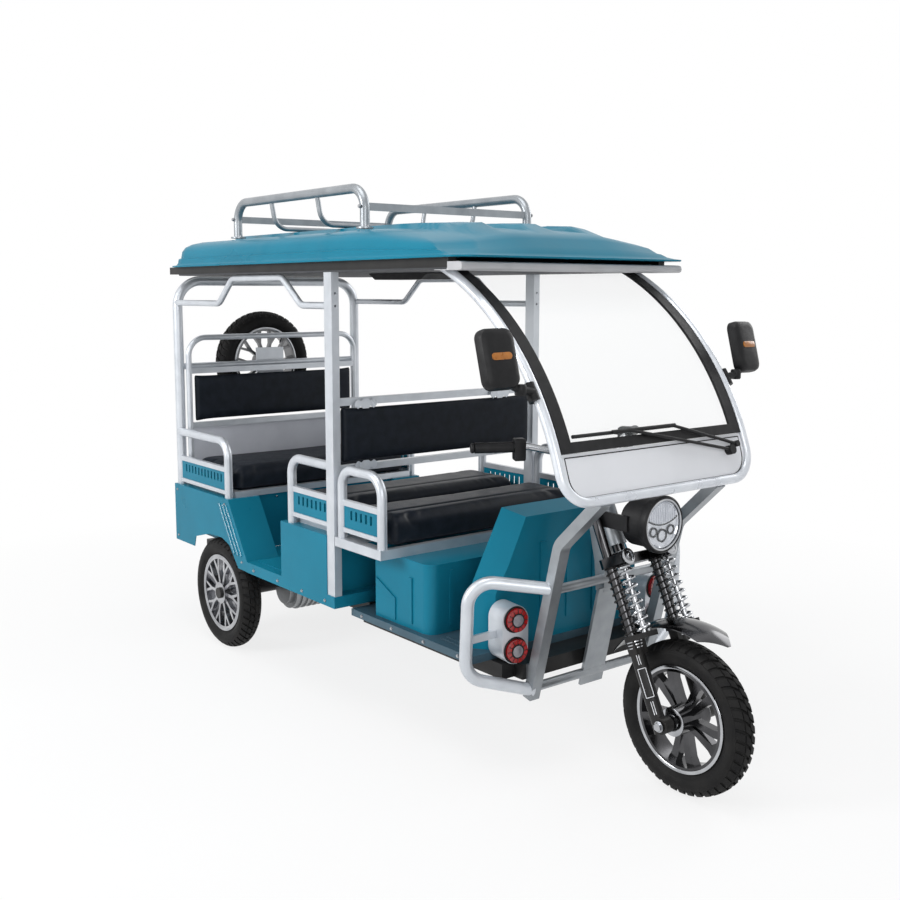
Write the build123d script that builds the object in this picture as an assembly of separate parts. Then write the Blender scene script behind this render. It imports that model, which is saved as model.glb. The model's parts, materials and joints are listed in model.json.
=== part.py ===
import os
from math import cos, degrees, radians, sin

from build123d import *

os.makedirs("parts", exist_ok=True)

# Driving dimensions in millimetres.
# Stations along X are measured forward from the rear axle, Y to the left, Z up from the ground.
overall_length = 2840
wheelbase = 2104
wheel_d = 470
tyre_w = 90
rear_wheel_y = 437
axle_z = wheel_d / 2

body_half_w = 490
floor_top_z = 424
sill_bottom_z = 381
driver_floor_z = 375
seat_side_y = body_half_w - 23
sheet = 4
gap = 0.3
fit = 0.05

pillar_rear_x = 873
pillar_front_x = 925
pillar_out_y = body_half_w - 3
pillar_in_y = pillar_out_y - 30
hoop_x = -368
hoop_y = body_half_w - 29
hoop_d = 42
lining_z = 1568
lining_t = 6
rail_h = 30
roof_rim_z = lining_z + lining_t + rail_h
roof_top_z = 1716

# The windscreen is one arc seen from the side, that starts at the foot of the lower panel.
screen_r = 934
screen_half_w = 385
screen_tube_y = 415
screen_tube_d = 30
panel_top_deg = 20.8
panel_low_deg = 12.0
screen_foot_x = wheelbase - 105.4
screen_foot_z = 912.2
screen_centre_x = screen_foot_x - screen_r * cos(radians(panel_low_deg))
screen_centre_z = screen_foot_z - screen_r * sin(radians(panel_low_deg))

# The steering axis leans back by the rake and passes this point on the centre plane.
rake = 25.5
steer_x = wheelbase - 264
steer_z = 657
leg_y = 100
leg_ahead = 40
spring_y = 97
spring_ahead = 92

# Stations of the nose, behind the front axle.
post_foot_x = wheelbase - 402
shield_x = wheelbase - 504
floor_front_x = wheelbase - 500
roof_front_x = wheelbase - 454

rear_reach = overall_length - wheelbase - wheel_d / 2
rear_axle_x = overall_length / 2 - wheel_d / 2 - wheelbase

fork_plane = Plane(
    origin=(steer_x, 0, steer_z),
    x_dir=(cos(radians(rake)), 0, sin(radians(rake))),
    z_dir=(-sin(radians(rake)), 0, cos(radians(rake))),
)
nodes = {}


def save(name, *shapes):
    """Shift a node's solids to the frame under the middle of the object and export them."""
    solids = []
    for shape in shapes:
        solids.extend((Pos(rear_axle_x, 0, 0) * shape).solids())
    nodes[name] = solids
    whole = solids[0] if len(solids) == 1 else Compound(children=solids)
    export_step(whole, f"parts/{name}.step")


def block(x, y, z):
    """Box between pairs of X, Y and Z limits."""
    size = (x[1] - x[0], y[1] - y[0], z[1] - z[0])
    centre = ((x[0] + x[1]) / 2, (y[0] + y[1]) / 2, (z[0] + z[1]) / 2)
    return Pos(*centre) * Box(*size)


def other_side(shape):
    """Copy of a shape on the other side of the centre plane."""
    return mirror(shape, about=Plane.XZ)


def tube(points, d, radius=None):
    """Round bar bent along points; radius is one value or one per corner."""
    if len(points) == 2:
        path = Line(*points)
    else:
        path = FilletPolyline(*points, radius=radius)
    return sweep(Plane(path @ 0, z_dir=path % 0) * Circle(d / 2), path=path)


def bar(points, w, h, radius=None):
    """Rectangular bar bent in a plane of constant Y: w across Y, h across the path."""
    if len(points) == 2:
        path = Line(*points)
    else:
        path = FilletPolyline(*points, radius=radius)
    start = Plane(path @ 0, x_dir=(0, 1, 0), z_dir=path % 0)
    return sweep(start * Rectangle(w, h), path=path)


def rod(a, b, d):
    """Cylinder from point a to point b."""
    line = Line(a, b)
    return extrude(Plane(line @ 0, z_dir=line % 0) * Circle(d / 2), amount=line.length)


def side_plate(points, y0, y1):
    """Plate with an outline of X, Z points, between two values of Y."""
    outline = make_face(Polyline([(x, y0, z) for x, z in points], close=True))
    return extrude(outline, amount=y1 - y0, dir=(0, 1, 0))


def front_plate(points, x0, x1):
    """Plate with an outline of Y, Z points, between two values of X."""
    outline = make_face(Polyline([(x0, y, z) for y, z in points], close=True))
    return extrude(outline, amount=x1 - x0, dir=(1, 0, 0))


def on_fork(x, y, z):
    """Point given along the leaning fork, as a point of the whole vehicle."""
    return fork_plane.from_local_coords((x, y, z))


def screen_point(angle, y, out=0):
    """Point on the windscreen arc, out millimetres outside it."""
    r = screen_r + out
    return (
        screen_centre_x + r * cos(radians(angle)),
        y,
        screen_centre_z + r * sin(radians(angle)),
    )


def screen_band(inner, outer, low_deg, high_deg, half_w):
    """Curved sheet between two offsets of the windscreen arc."""
    centre = Plane((screen_centre_x, 0, screen_centre_z), x_dir=(1, 0, 0), z_dir=(0, -1, 0))
    r_in = screen_r + inner
    r_out = screen_r + outer
    low = (cos(radians(low_deg)), sin(radians(low_deg)))
    high = (cos(radians(high_deg)), sin(radians(high_deg)))
    mid_deg = (low_deg + high_deg) / 2
    mid = (cos(radians(mid_deg)), sin(radians(mid_deg)))
    edges = [
        ThreePointArc(
            (r_in * low[0], r_in * low[1]),
            (r_in * mid[0], r_in * mid[1]),
            (r_in * high[0], r_in * high[1]),
        ),
        Line((r_in * high[0], r_in * high[1]), (r_out * high[0], r_out * high[1])),
        ThreePointArc(
            (r_out * high[0], r_out * high[1]),
            (r_out * mid[0], r_out * mid[1]),
            (r_out * low[0], r_out * low[1]),
        ),
        Line((r_out * low[0], r_out * low[1]), (r_in * low[0], r_in * low[1])),
    ]
    face = centre * make_face(edges)
    return extrude(face, amount=half_w, dir=(0, 1, 0), both=True)


# Wheels: each is made about the Y axis at the origin.
bead_r = 152
flange_r = 163
bead_half_w = 30


def make_tyre():
    """Road tyre with rounded crown and bulged side walls, without tread."""
    half = tyre_w / 2
    top = wheel_d / 2
    right = [
        (bead_r, bead_half_w),
        (flange_r + 2, bead_half_w),
        (flange_r + 16, half - 3),
        (top - 34, half),
        (top - 20, half - 5),
        (top - 6, half - 20),
        (top, half - 38),
    ]
    profile = right + [(r, -y) for r, y in reversed(right)]
    return revolve(make_face(Polyline(profile, close=True)), axis=Axis.Y)


def ring(r_in, r_out, y0, y1):
    """Round ring or disc about the Y axis."""
    plane = Plane((0, y0, 0), x_dir=(1, 0, 0), z_dir=(0, 1, 0))
    face = plane * Circle(r_out)
    if r_in:
        face -= plane * Circle(r_in)
    return extrude(face, amount=y1 - y0)


def make_barrel():
    """Rim barrel with its two flanges, open in the middle."""
    seat = bead_r - gap
    edge = bead_half_w + gap
    points = [
        (144, -edge - 4),
        (flange_r, -edge - 4),
        (flange_r, -edge),
        (seat, -edge),
        (seat, edge),
        (flange_r, edge),
        (flange_r, edge + 4),
        (144, edge + 4),
    ]
    return revolve(make_face(Polyline(points, close=True)), axis=Axis.Y)


def spoke(points, y0, y1, angle):
    """Spoke from an outline of radial and tangential points, turned about the Y axis."""
    outline = make_face(Polyline([(r, y0, t) for r, t in points], close=True))
    arm = extrude(outline, amount=y1 - y0, dir=(0, 1, 0))
    return Rot(0, angle, 0) * arm


def make_front_rim(bore_r):
    """Five pairs of wide spokes on a plain hub."""
    hub_half = 62
    rim = make_barrel() + ring(0, 44, -hub_half, hub_half)
    pair = [(30, 4), (60, 5), (118, 12), (144, 22), (137, 50), (112, 36), (60, 24), (30, 20)]
    for n in range(5):
        for side in (1, -1):
            outline = [(r, side * t) for r, t in pair]
            rim += spoke(outline, -15, 15, 72 * n + 18)
    return rim - ring(0, bore_r, -hub_half - 5, hub_half + 5)


def make_rear_rim(bore_r, drum):
    """Ten forked thin spokes on a dished hub; the outer face is at plus Y."""
    rim = make_barrel() + ring(0, 46, -20, 40)
    if drum:
        rim += ring(0, 88, -44, -16)
    stem = [(34, -7), (96, -6), (96, 6), (34, 7)]
    prong = [(88, 0), (92, 7), (146, 26), (146, 16), (100, -3)]
    for n in range(10):
        rim += spoke(stem, 12, 32, 36 * n)
        for side in (1, -1):
            outline = [(r, side * t) for r, t in prong]
            rim += spoke(outline, 12, 32, 36 * n)
    return rim - ring(0, bore_r, -60, 60)


axle_r = 15
front_axle_r = 8
tyre = make_tyre()
rear_rim = make_rear_rim(axle_r + fit, True)
spare_rim = make_rear_rim(axle_r + fit, False)
front_rim = make_front_rim(front_axle_r + fit)

save("front_tyre", Pos(wheelbase, 0, axle_z) * tyre)
save("front_rim", Pos(wheelbase, 0, axle_z) * front_rim)
save("rear_left_tyre", Pos(0, rear_wheel_y, axle_z) * tyre)
save("rear_left_rim", Pos(0, rear_wheel_y, axle_z) * rear_rim)
save("rear_right_tyre", Pos(0, -rear_wheel_y, axle_z) * tyre)
save("rear_right_rim", other_side(Pos(0, rear_wheel_y, axle_z) * rear_rim))

spare_z = 1174
spare_x = -rear_reach + tyre_w / 2
spare_place = Pos(spare_x, 0, spare_z) * Rot(0, 0, -90)
save("spare_tyre", spare_place * tyre)
save("spare_rim", spare_place * spare_rim)

# Rear axle, motor and leaf springs.
leaf_y = 320
leaf_half_len = 330
leaf_rise = 45
leaf_t = 24
axle_tube_r = 32
housing_end_y = rear_wheel_y - 44 - 6

half_axle = [
    (90, 60),
    (axle_tube_r, 60),
    (axle_tube_r, housing_end_y - 8),
    (80, housing_end_y - 8),
    (80, housing_end_y),
    (axle_r, housing_end_y),
    (axle_r, rear_wheel_y + 41),
    (23, rear_wheel_y + 41),
    (23, rear_wheel_y + 49),
    (0, rear_wheel_y + 49),
]
axle_profile = half_axle + [(r, -y) for r, y in reversed(half_axle)]
axle = Pos(0, 0, axle_z) * revolve(make_face(Polyline(axle_profile, close=True)), axis=Axis.Y)
axle += block((60, 200), (-62, 62), (axle_z - 58, axle_z + 58))
save("rear_axle", axle)

motor_x = 135
motor_z = axle_z + 4
motor = rod((motor_x, -62 - gap, motor_z), (motor_x, -228, motor_z), 164)
motor += rod((motor_x, -228, motor_z), (motor_x, -250, motor_z), 120)
for n in range(5):
    rib_y = -82 - 28 * n
    motor += rod((motor_x, rib_y, motor_z), (motor_x, rib_y - 8, motor_z), 178)
save("drive_motor", motor)

leaf_low_z = axle_z + axle_tube_r + gap
leaf_end_z = leaf_low_z + leaf_rise
spring_line = [
    ThreePointArc(
        (-leaf_half_len, 0, leaf_end_z), (0, 0, leaf_low_z), (leaf_half_len, 0, leaf_end_z)
    ),
    Line((leaf_half_len, 0, leaf_end_z), (leaf_half_len, 0, leaf_end_z + leaf_t)),
    ThreePointArc(
        (leaf_half_len, 0, leaf_end_z + leaf_t),
        (0, 0, leaf_low_z + leaf_t),
        (-leaf_half_len, 0, leaf_end_z + leaf_t),
    ),
    Line((-leaf_half_len, 0, leaf_end_z + leaf_t), (-leaf_half_len, 0, leaf_end_z)),
]
leaf = extrude(make_face(spring_line), amount=25, dir=(0, 1, 0), both=True)
leaf += block((-45, 45), (-32, 32), (leaf_low_z, leaf_low_z + leaf_t + 10))
leaf_springs = [Pos(0, side * leaf_y, 0) * leaf for side in (1, -1)]
save("leaf_springs", *leaf_springs)

# Ladder frame with a step down to the driver's floor.
rail_top = sill_bottom_z - gap
rail_low = leaf_end_z + leaf_t + gap
front_rail_top = driver_floor_z - 25 - gap
frame = []
for side in (1, -1):
    rail_y = (side * leaf_y - 25, side * leaf_y + 25)
    long_rail = block((-385, 930), rail_y, (rail_low, rail_top))
    long_rail += block((890, post_foot_x - 42), rail_y, (300, front_rail_top))
    frame.append(long_rail)
cross_half_y = leaf_y - 25 - gap
for x0, x1, low, top in [
    (-385, -345, rail_low, rail_top),
    (300, 340, rail_low, rail_top),
    (640, 680, rail_low, rail_top),
    (890, 930, 300, rail_top),
    (1250, 1290, 300, front_rail_top),
    (post_foot_x - 102, post_foot_x - 2, 300, front_rail_top),
]:
    frame.append(block((x0, x1), (-cross_half_y, cross_half_y), (low, top)))
tow_plate = block((-430, -385 - gap), (-30, 30), (rail_low + 8, rail_low + 18))
frame.append(tow_plate - Pos(-408, 0, rail_low) * Cylinder(12.5, 80))
save("chassis_frame", *frame)

# Floors.
pan = block((98, 922), (-344, 344), (sill_bottom_z, floor_top_z))
pan += block((272 + gap, 922), (-body_half_w, body_half_w), (sill_bottom_z, floor_top_z))
hollow = block((102, 918), (-340, 340), (sill_bottom_z - 1, floor_top_z - sheet))
wide_hollow = block(
    (276 + gap, 918), (-body_half_w + 4, body_half_w - 4), (sill_bottom_z - 1, floor_top_z - sheet)
)
pan -= hollow + wide_hollow
for rib_y in (-leaf_y, leaf_y):
    pan += block((98, 889), (rib_y - 25, rib_y + 25), (sill_bottom_z, floor_top_z))
walk_rise = 3
pan += block((290, 540), (-450, 450), (floor_top_z - sheet, floor_top_z + walk_rise))
save("passenger_floor", pan)

floor_plate = block((932, floor_front_x), (-425, 425), (driver_floor_z - 25, driver_floor_z))
for rib_y in (-380, -355, 355, 380):
    rib_x = (1400, floor_front_x - 60)
    floor_plate += block(rib_x, (rib_y - 5, rib_y + 5), (driver_floor_z, driver_floor_z + 3))
save("driver_floor", floor_plate)

# Rear body: a housing over each wheel, the panel across the back, and the seat base between them.
rear_x = -385
housing_in_y = 345
housing_top_z = 655
housing_profile = [(rear_x, 402), (rear_x, housing_top_z), (118, housing_top_z), (272, 424), (272, 402)]
housing_inside = [
    (rear_x - 1, 395),
    (rear_x - 1, housing_top_z - 3),
    (116, housing_top_z - 3),
    (269, 423),
    (269, 395),
]
side_outline = [
    (rear_x, 402),
    (rear_x, housing_top_z),
    (118, housing_top_z),
    (272, 424),
    (272, 382),
    (196, 384),
    (122, 466),
    (60, 486),
    (-60, 482),
    (-190, 448),
    (-205, 402),
]
housing = side_plate(housing_profile, housing_in_y, body_half_w)
housing -= side_plate(housing_inside, housing_in_y + 3, body_half_w + 1)
housing += side_plate(side_outline, body_half_w - 3, body_half_w)
for n in range(3):
    start_x = 74 - 30 * n
    rib = rod((start_x + 30, body_half_w, 625), (start_x + 112, body_half_w, 502), 9)
    housing += rib
back_panel = block((rear_x - 4, rear_x - gap), (-body_half_w, body_half_w), (402, housing_top_z))
for rib_z in (470, 530, 590):
    back_panel += block((rear_x - 10, rear_x - 4), (-330, 330), (rib_z, rib_z + 18))
save("rear_body_panels", housing, other_side(housing), back_panel)

seat_base_y = (-housing_in_y + gap, housing_in_y - gap)
seat_base = block((rear_x, 98), seat_base_y, (housing_top_z - 4, housing_top_z))
seat_base += block((94, 98), seat_base_y, (floor_top_z + gap, housing_top_z))
save("rear_seat_base", seat_base)

bench = block((548, pillar_rear_x - gap), (-body_half_w, body_half_w), (floor_top_z, 640))
bench -= block((552, pillar_rear_x - 4), (-body_half_w + 4, body_half_w - 4), (floor_top_z - 1, 636))
save("mid_bench_base", bench)

base_half_w = 400
base_rear_x = pillar_front_x + 125
base_front_x = base_rear_x + 313
base_top_z = 612
press = 5
base_plan = Rectangle(base_front_x - base_rear_x, 2 * base_half_w)
base_plan = Pos((base_rear_x + base_front_x) / 2, 0) * base_plan
base = extrude(Plane.XY.offset(driver_floor_z) * base_plan, amount=base_top_z - driver_floor_z)
base = fillet(base.edges().filter_by(Axis.Z).group_by(Axis.X)[-1], 40)
base -= block(
    (base_rear_x + sheet, base_front_x - 43),
    (-base_half_w + sheet, base_half_w - sheet),
    (driver_floor_z - 1, base_top_z - sheet),
)
wall_panel = [
    (base_rear_x + 8, driver_floor_z + 12),
    (base_rear_x + 8, driver_floor_z + 140),
    (base_rear_x + 122, driver_floor_z + 88),
    (base_rear_x + 122, driver_floor_z + 12),
]
wall_rib = block(
    (base_front_x - 112, base_front_x - 96),
    (base_half_w, base_half_w + press),
    (driver_floor_z + 20, base_top_z - 60),
)
pressing = side_plate(wall_panel, base_half_w, base_half_w + press) + wall_rib
base += pressing
base += other_side(pressing)
rib_w = 14


def upright_rib(low_y, low_z, high_y, high_z):
    """Outline of a rib on the front of the seat base, from its outer foot to its outer top."""
    return [(low_y, low_z), (high_y, high_z), (high_y - rib_w, high_z), (low_y - rib_w, low_z)]


front_rib = upright_rib(320, driver_floor_z + 24, 320, base_top_z - 24)
slant_rib = upright_rib(232, driver_floor_z + 24, 190, base_top_z - 90)
centre_rib = upright_rib(70, driver_floor_z + 40, 70, base_top_z - 40)
for outline in (front_rib, slant_rib, centre_rib):
    rib = front_plate(outline, base_front_x, base_front_x + press)
    base += rib
    base += other_side(rib)
save("driver_seat_base", base)

# Leg shield: a moulded tray with slanting sides, open to the rear.
shield_depth = 68
shield_wall = 4
shield_rows = [
    {"rear_y": 372, "front_y": 322, "rear_z": driver_floor_z, "front_z": driver_floor_z},
    {"rear_y": 372, "front_y": 322, "rear_z": 566, "front_z": 556},
    {"rear_y": 322, "front_y": 268, "rear_z": 662, "front_z": 642},
    {"rear_y": 240, "front_y": 196, "rear_z": 816, "front_z": 790},
]


def shield_section(x, y_name, z_name, inset):
    """Outline of the leg shield at one station, drawn in by a wall thickness."""
    half = [(row[y_name] - inset, row[z_name] - inset) for row in shield_rows]
    outline = [(x, y, z) for y, z in half] + [(x, -y, z) for y, z in reversed(half)]
    return make_face(Polyline(outline, close=True))


shield = loft(
    [
        shield_section(shield_x - shield_depth, "rear_y", "rear_z", 0),
        shield_section(shield_x, "front_y", "front_z", 0),
    ],
    ruled=True,
)
shield -= loft(
    [
        shield_section(shield_x - shield_depth - 0.1, "rear_y", "rear_z", shield_wall),
        shield_section(shield_x - shield_wall, "front_y", "front_z", shield_wall),
    ],
    ruled=True,
)
for rib_y in (-120, 0, 120):
    shield += block((shield_x - shield_wall, shield_x + 5), (rib_y - 14, rib_y + 14), (430, 700))
save("leg_shield", shield)

# Pillars, rear hoop and grab rails.
pillar = block(
    (pillar_rear_x, pillar_front_x - 3 - gap), (pillar_in_y, pillar_out_y), (floor_top_z, lining_z)
)
for hole_z in (1452, 1496):
    pillar -= Pos(898, (pillar_in_y + pillar_out_y) / 2, hole_z) * Rot(0, 90, 0) * Cylinder(4.25, 80)
save("pillars", pillar, other_side(pillar))

hoop_top = lining_z - hoop_d / 2
hoop = tube(
    [
        (hoop_x, -hoop_y, housing_top_z),
        (hoop_x, -hoop_y, hoop_top),
        (hoop_x, hoop_y, hoop_top),
        (hoop_x, hoop_y, housing_top_z),
    ],
    hoop_d,
    110,
)
hoop_clear = tube(
    [
        (hoop_x, -hoop_y, housing_top_z - 5),
        (hoop_x, -hoop_y, hoop_top),
        (hoop_x, hoop_y, hoop_top),
        (hoop_x, hoop_y, housing_top_z - 5),
    ],
    hoop_d + 2 * gap,
    110,
)
save("rear_hoop", hoop)

rail_d = 25
rail_line = [(hoop_x, 1453), (42, 1453), (162, 1553), (556, 1553), (687, 1453), (pillar_rear_x, 1453)]
grab_rail = tube([(x, seat_side_y, z) for x, z in rail_line], rail_d, 60) - hoop_clear
save("grab_rails", grab_rail, other_side(grab_rail))

# Roof: frame, lining and the moulded shell with its rim flange.
rail_z = (lining_z + lining_t, roof_rim_z)
rail_in_y = body_half_w - 38
rail_end_x = roof_front_x - 90
roof_frame = []
for side in (1, -1):
    rail_y = sorted((side * rail_in_y, side * (rail_in_y + 30)))
    roof_frame.append(block((hoop_x - 21, rail_end_x), rail_y, rail_z))
for x0 in (hoop_x - 21, 250, pillar_rear_x + 11, rail_end_x - 260):
    roof_frame.append(block((x0, x0 + 30), (-rail_in_y + gap, rail_in_y - gap), rail_z))
save("roof_frame", *roof_frame)

lining_rear_x = hoop_x + 28
lining_front_x = roof_front_x - 25
lining = extrude(
    Plane.XY.offset(lining_z)
    * Pos((lining_rear_x + lining_front_x) / 2, 0)
    * RectangleRounded(lining_front_x - lining_rear_x, 2 * body_half_w - 4, 70),
    amount=lining_t,
)
save("roof_lining", lining)


roof_rear_x = hoop_x + 23
roof_half_w = body_half_w + 18
shell_t = 5
# Insets of the roof shell at rising heights: rear, front, side, cut corners at the front and the rear.
roof_steps = [
    (0, 0, 0, 120, 60, roof_rim_z),
    (0, 0, 0, 120, 60, roof_rim_z + 6),
    (14, 14, 14, 116, 56, roof_rim_z + 10),
    (24, 84, 24, 52, 46, roof_rim_z + 64),
    (46, 190, 50, 40, 40, roof_rim_z + 92),
    (90, 330, 96, 40, 40, roof_top_z - 3),
    (140, 420, 150, 40, 40, roof_top_z),
]


def roof_section(rear_in, front_in, side_in, front_cut, rear_cut, z, inset=0):
    """Outline of the roof at one height: a rectangle with its corners cut off."""
    x0 = roof_rear_x + rear_in + inset
    x1 = roof_front_x - front_in - inset
    half = roof_half_w - side_in - inset
    side = [
        (x0, half - rear_cut, z),
        (x0 + rear_cut, half, z),
        (x1 - front_cut, half, z),
        (x1, half - front_cut, z),
    ]
    return make_face(Polyline(side + [(x, -y, z) for x, y, z in reversed(side)], close=True))


roof = loft([roof_section(*step) for step in roof_steps], ruled=True)
ridge_half_w = 66
ridge_rise = 8
for ridge_y in (-235, 0, 235):
    ridge_x = (roof_rear_x + 150, roof_front_x - 255)
    ridge_plan = SlotOverall(ridge_x[1] - ridge_x[0], 2 * ridge_half_w)
    ridge = extrude(
        Plane.XY.offset(roof_rim_z + 60) * Pos((ridge_x[0] + ridge_x[1]) / 2, ridge_y) * ridge_plan,
        amount=roof_top_z + ridge_rise - roof_rim_z - 60,
    )
    roof += fillet(ridge.faces().sort_by(Axis.Z)[-1].edges(), ridge_rise - 1)
for crease_x in (430, pillar_rear_x):
    for side in (1, -1):
        foot = (crease_x, side * (roof_half_w - 16), roof_rim_z + 14)
        roof += rod(foot, (crease_x, side * (roof_half_w - 26), roof_rim_z + 62), 9)
cavity = [roof_section(*step[:5], step[5] - shell_t, inset=shell_t) for step in roof_steps[2:]]
floor_step = roof_steps[2]
roof -= loft(cavity, ruled=True)
roof -= extrude(roof_section(*floor_step[:5], roof_rim_z - 1, inset=shell_t + 34), amount=12)
save("roof_panel", roof)

roof_unit_x = (pillar_front_x - 170, pillar_front_x + 180)
roof_unit_y = (-215, -85)
roof_unit_low = lining_z - 24
roof_unit = block(roof_unit_x, roof_unit_y, (roof_unit_low, lining_z - gap))
roof_unit = chamfer(roof_unit.faces().sort_by(Axis.Z)[0].edges().filter_by(Axis.Y), 20, 36)
save("roof_unit", roof_unit)

# Roof rack: two side hoops, two cradles between them and two flat cross bars.
rack_y = 375
rack_rear_x = 45
rack_front_x = 965
rack_top_z = 1856
rack_d = 34
rack = None
for side in (1, -1):
    loop = tube(
        [
            (rack_rear_x, side * rack_y, roof_top_z),
            (rack_rear_x, side * rack_y, rack_top_z),
            (rack_front_x, side * rack_y, rack_top_z),
            (rack_front_x, side * rack_y, roof_top_z),
        ],
        rack_d,
        75,
    )
    for foot_x in (rack_rear_x, rack_front_x):
        loop += Pos(foot_x, side * rack_y, roof_top_z + 3) * Cylinder(30, 6)
    rack = loop if rack is None else rack + loop
for cradle_x in (320, 655):
    rack += tube(
        [
            (cradle_x, -rack_y, rack_top_z),
            (cradle_x, -rack_y + 20, 1744),
            (cradle_x, rack_y - 20, 1744),
            (cradle_x, rack_y, rack_top_z),
        ],
        18,
        60,
    )
for cross_x in (rack_rear_x, rack_front_x):
    rack += block((cross_x - 5, cross_x + 5), (-rack_y, rack_y), (1778, 1804))
save("roof_rack", rack)

# Windscreen: tube frame, seal, glass and the lower panel.
corner_r = 90
corner_deg = panel_low_deg + degrees(corner_r / screen_r)


def screen_frame(d):
    """Tube frame round the windscreen and the lower panel."""
    down = (sin(radians(corner_deg)), 0, -cos(radians(corner_deg)))
    edges = []
    start = Vector(screen_point(corner_deg, screen_tube_y))
    turn = start + Vector(down) * corner_r
    low_y = screen_tube_y - corner_r
    for side in (1, -1):
        foot = (turn.X, side * low_y, turn.Z)
        corner = (start.X, side * screen_tube_y, start.Z)
        half = Vector(down) * corner_r * sin(radians(45))
        middle = (
            start.X + half.X,
            side * (low_y + corner_r * cos(radians(45))),
            start.Z + half.Z,
        )
        arc = ThreePointArc(
            corner,
            screen_point((corner_deg + 70) / 2, side * screen_tube_y),
            screen_point(70, side * screen_tube_y),
        )
        edges.extend([arc, ThreePointArc(foot, middle, corner)])
    edges.append(Line((turn.X, -low_y, turn.Z), (turn.X, low_y, turn.Z)))
    bars = None
    for edge in edges:
        piece = sweep(Plane(edge @ 0, z_dir=edge % 0) * Circle(d / 2), path=edge)
        bars = piece if bars is None else bars + piece
    return bars


above_y = (-2 * screen_tube_y, 2 * screen_tube_y)
above = block((pillar_rear_x, wheelbase), above_y, (lining_z - gap, 2 * lining_z))
screen_tubes = screen_frame(screen_tube_d) - above
tubes_clear = screen_frame(screen_tube_d + 2 * gap)
save("windscreen_frame", screen_tubes)

glass = screen_band(-4, 0, panel_top_deg + 0.6, 67, screen_half_w) - above
save("windscreen_glass", glass)

seal = screen_band(gap, 9, panel_top_deg, 67, screen_tube_y - screen_tube_d / 2 - gap)
seal -= screen_band(-5, 15, panel_top_deg + 1.9, 70, screen_half_w - 30)
save("windscreen_seal", seal - above)

panel = screen_band(-2, 2, panel_low_deg - 0.8, panel_top_deg - 0.05, screen_tube_y)
panel = (panel - tubes_clear).solids().sort_by(SortBy.VOLUME)[-1]
save("front_panel", panel)

# Wiper: a pivot on the panel, two arms side by side and a blade that lies low on the glass.
wiper_pivot = {"deg": 17.6, "y": 322}
wiper_second = {"deg": 18.6, "y": 352}
blade_deg = 23.6
blade_y = (-343, 85)
arm_out = 19
blade = rod(screen_point(blade_deg, blade_y[0], 9), screen_point(blade_deg, blade_y[1], 9), 11)
wiper = blade + rod(screen_point(blade_deg, -190, arm_out), screen_point(blade_deg, 85, arm_out), 10)
for y in (-185, -50, 78):
    wiper += rod(screen_point(blade_deg, y, 8), screen_point(blade_deg, y, arm_out + 2), 9)
for pivot, end_y, r in ((wiper_pivot, -120, 15), (wiper_second, 70, 10)):
    hub = screen_point(pivot["deg"], pivot["y"], arm_out)
    pivot_foot = screen_point(pivot["deg"], pivot["y"], 2 + gap)
    pivot_top = screen_point(pivot["deg"], pivot["y"], arm_out + 7)
    wiper += rod(pivot_foot, pivot_top, 2 * r)
    wiper += rod(hub, screen_point(blade_deg, end_y, arm_out), 10)
save("wiper", wiper)

# Mirrors on the windscreen tube.
stem_start = screen_point(32.5, screen_tube_y)
mirror_x = stem_start[0] - 12
mirror_y = screen_tube_y + 130
mirror_z = stem_start[2] + 99
mirror_head = Pos(mirror_x, mirror_y, mirror_z) * Box(46, 116, 172)
mirror_head = fillet(mirror_head.edges().filter_by(Axis.X), 45)
mirror_head = fillet(mirror_head.faces().sort_by(Axis.X)[-1].edges(), 14)
mirror_bend = (mirror_x + 1, mirror_y - 75, mirror_z - 94)
mirror_arm = tube([stem_start, mirror_bend, (mirror_x - 3, mirror_y, mirror_z - 69)], 12, 25)
left_mirror = (mirror_head + mirror_arm) - tubes_clear
save("mirrors", left_mirror, other_side(left_mirror))

# Front frame: leaning posts, centre channel, cross tubes and the steering head.
post_y = 260
post_line = [(post_foot_x, 237), (post_foot_x + 128, 750), (post_foot_x + 292, screen_foot_z - 5)]
posts = []
for side in (1, -1):
    post = bar([(x, side * post_y, z) for x, z in post_line], 40, 34, 60)
    foot_y = (side * post_y - 20, side * post_y + 20)
    post += block((post_foot_x - 2 + gap, post_foot_x + 20), foot_y, (300, front_rail_top))
    posts.append(post - tubes_clear)
save("front_posts", *posts)

stem_r = 20
cross_half = post_y - 20 - gap
head = bar([(post_foot_x + 4, 0, 232), (post_foot_x + 80, 0, 570)], 100, 10)
for cross_x, cross_z in [(post_foot_x + 10, 272), (post_foot_x + 74, 596)]:
    head += rod((cross_x, -cross_half, cross_z), (cross_x, cross_half, cross_z), 30)
neck = [
    (steer_x - 90, 555),
    (steer_x - 54, 555),
    (steer_x - 54, 640),
    (steer_x - 56, 668),
    (steer_x - 54, 713),
    (steer_x - 116, 842),
    (steer_x - 140, 822),
    (steer_x - 98, 650),
]
head += side_plate(neck, -28, 28)
head += rod(on_fork(0, 0, 60), on_fork(0, 0, 235), 60)
head -= rod(on_fork(0, 0, 0), on_fork(0, 0, 280), 2 * (stem_r + fit))
save("steering_head", head)

guard_line = [
    (post_foot_x + 91, post_y + 2, 606),
    (post_foot_x - 52, post_y + 214, 640),
    (post_foot_x - 62, post_y + 218, 330),
    (post_foot_x + 10, post_y + 2, 264),
]
guard_d = 40
guard = tube(guard_line, guard_d, 75) - posts[0]
guard = guard.solids().sort_by(SortBy.VOLUME)[-1]
guard_clear = tube(guard_line, guard_d + 2 * gap, 75)
save("side_guards", guard, other_side(guard))

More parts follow.
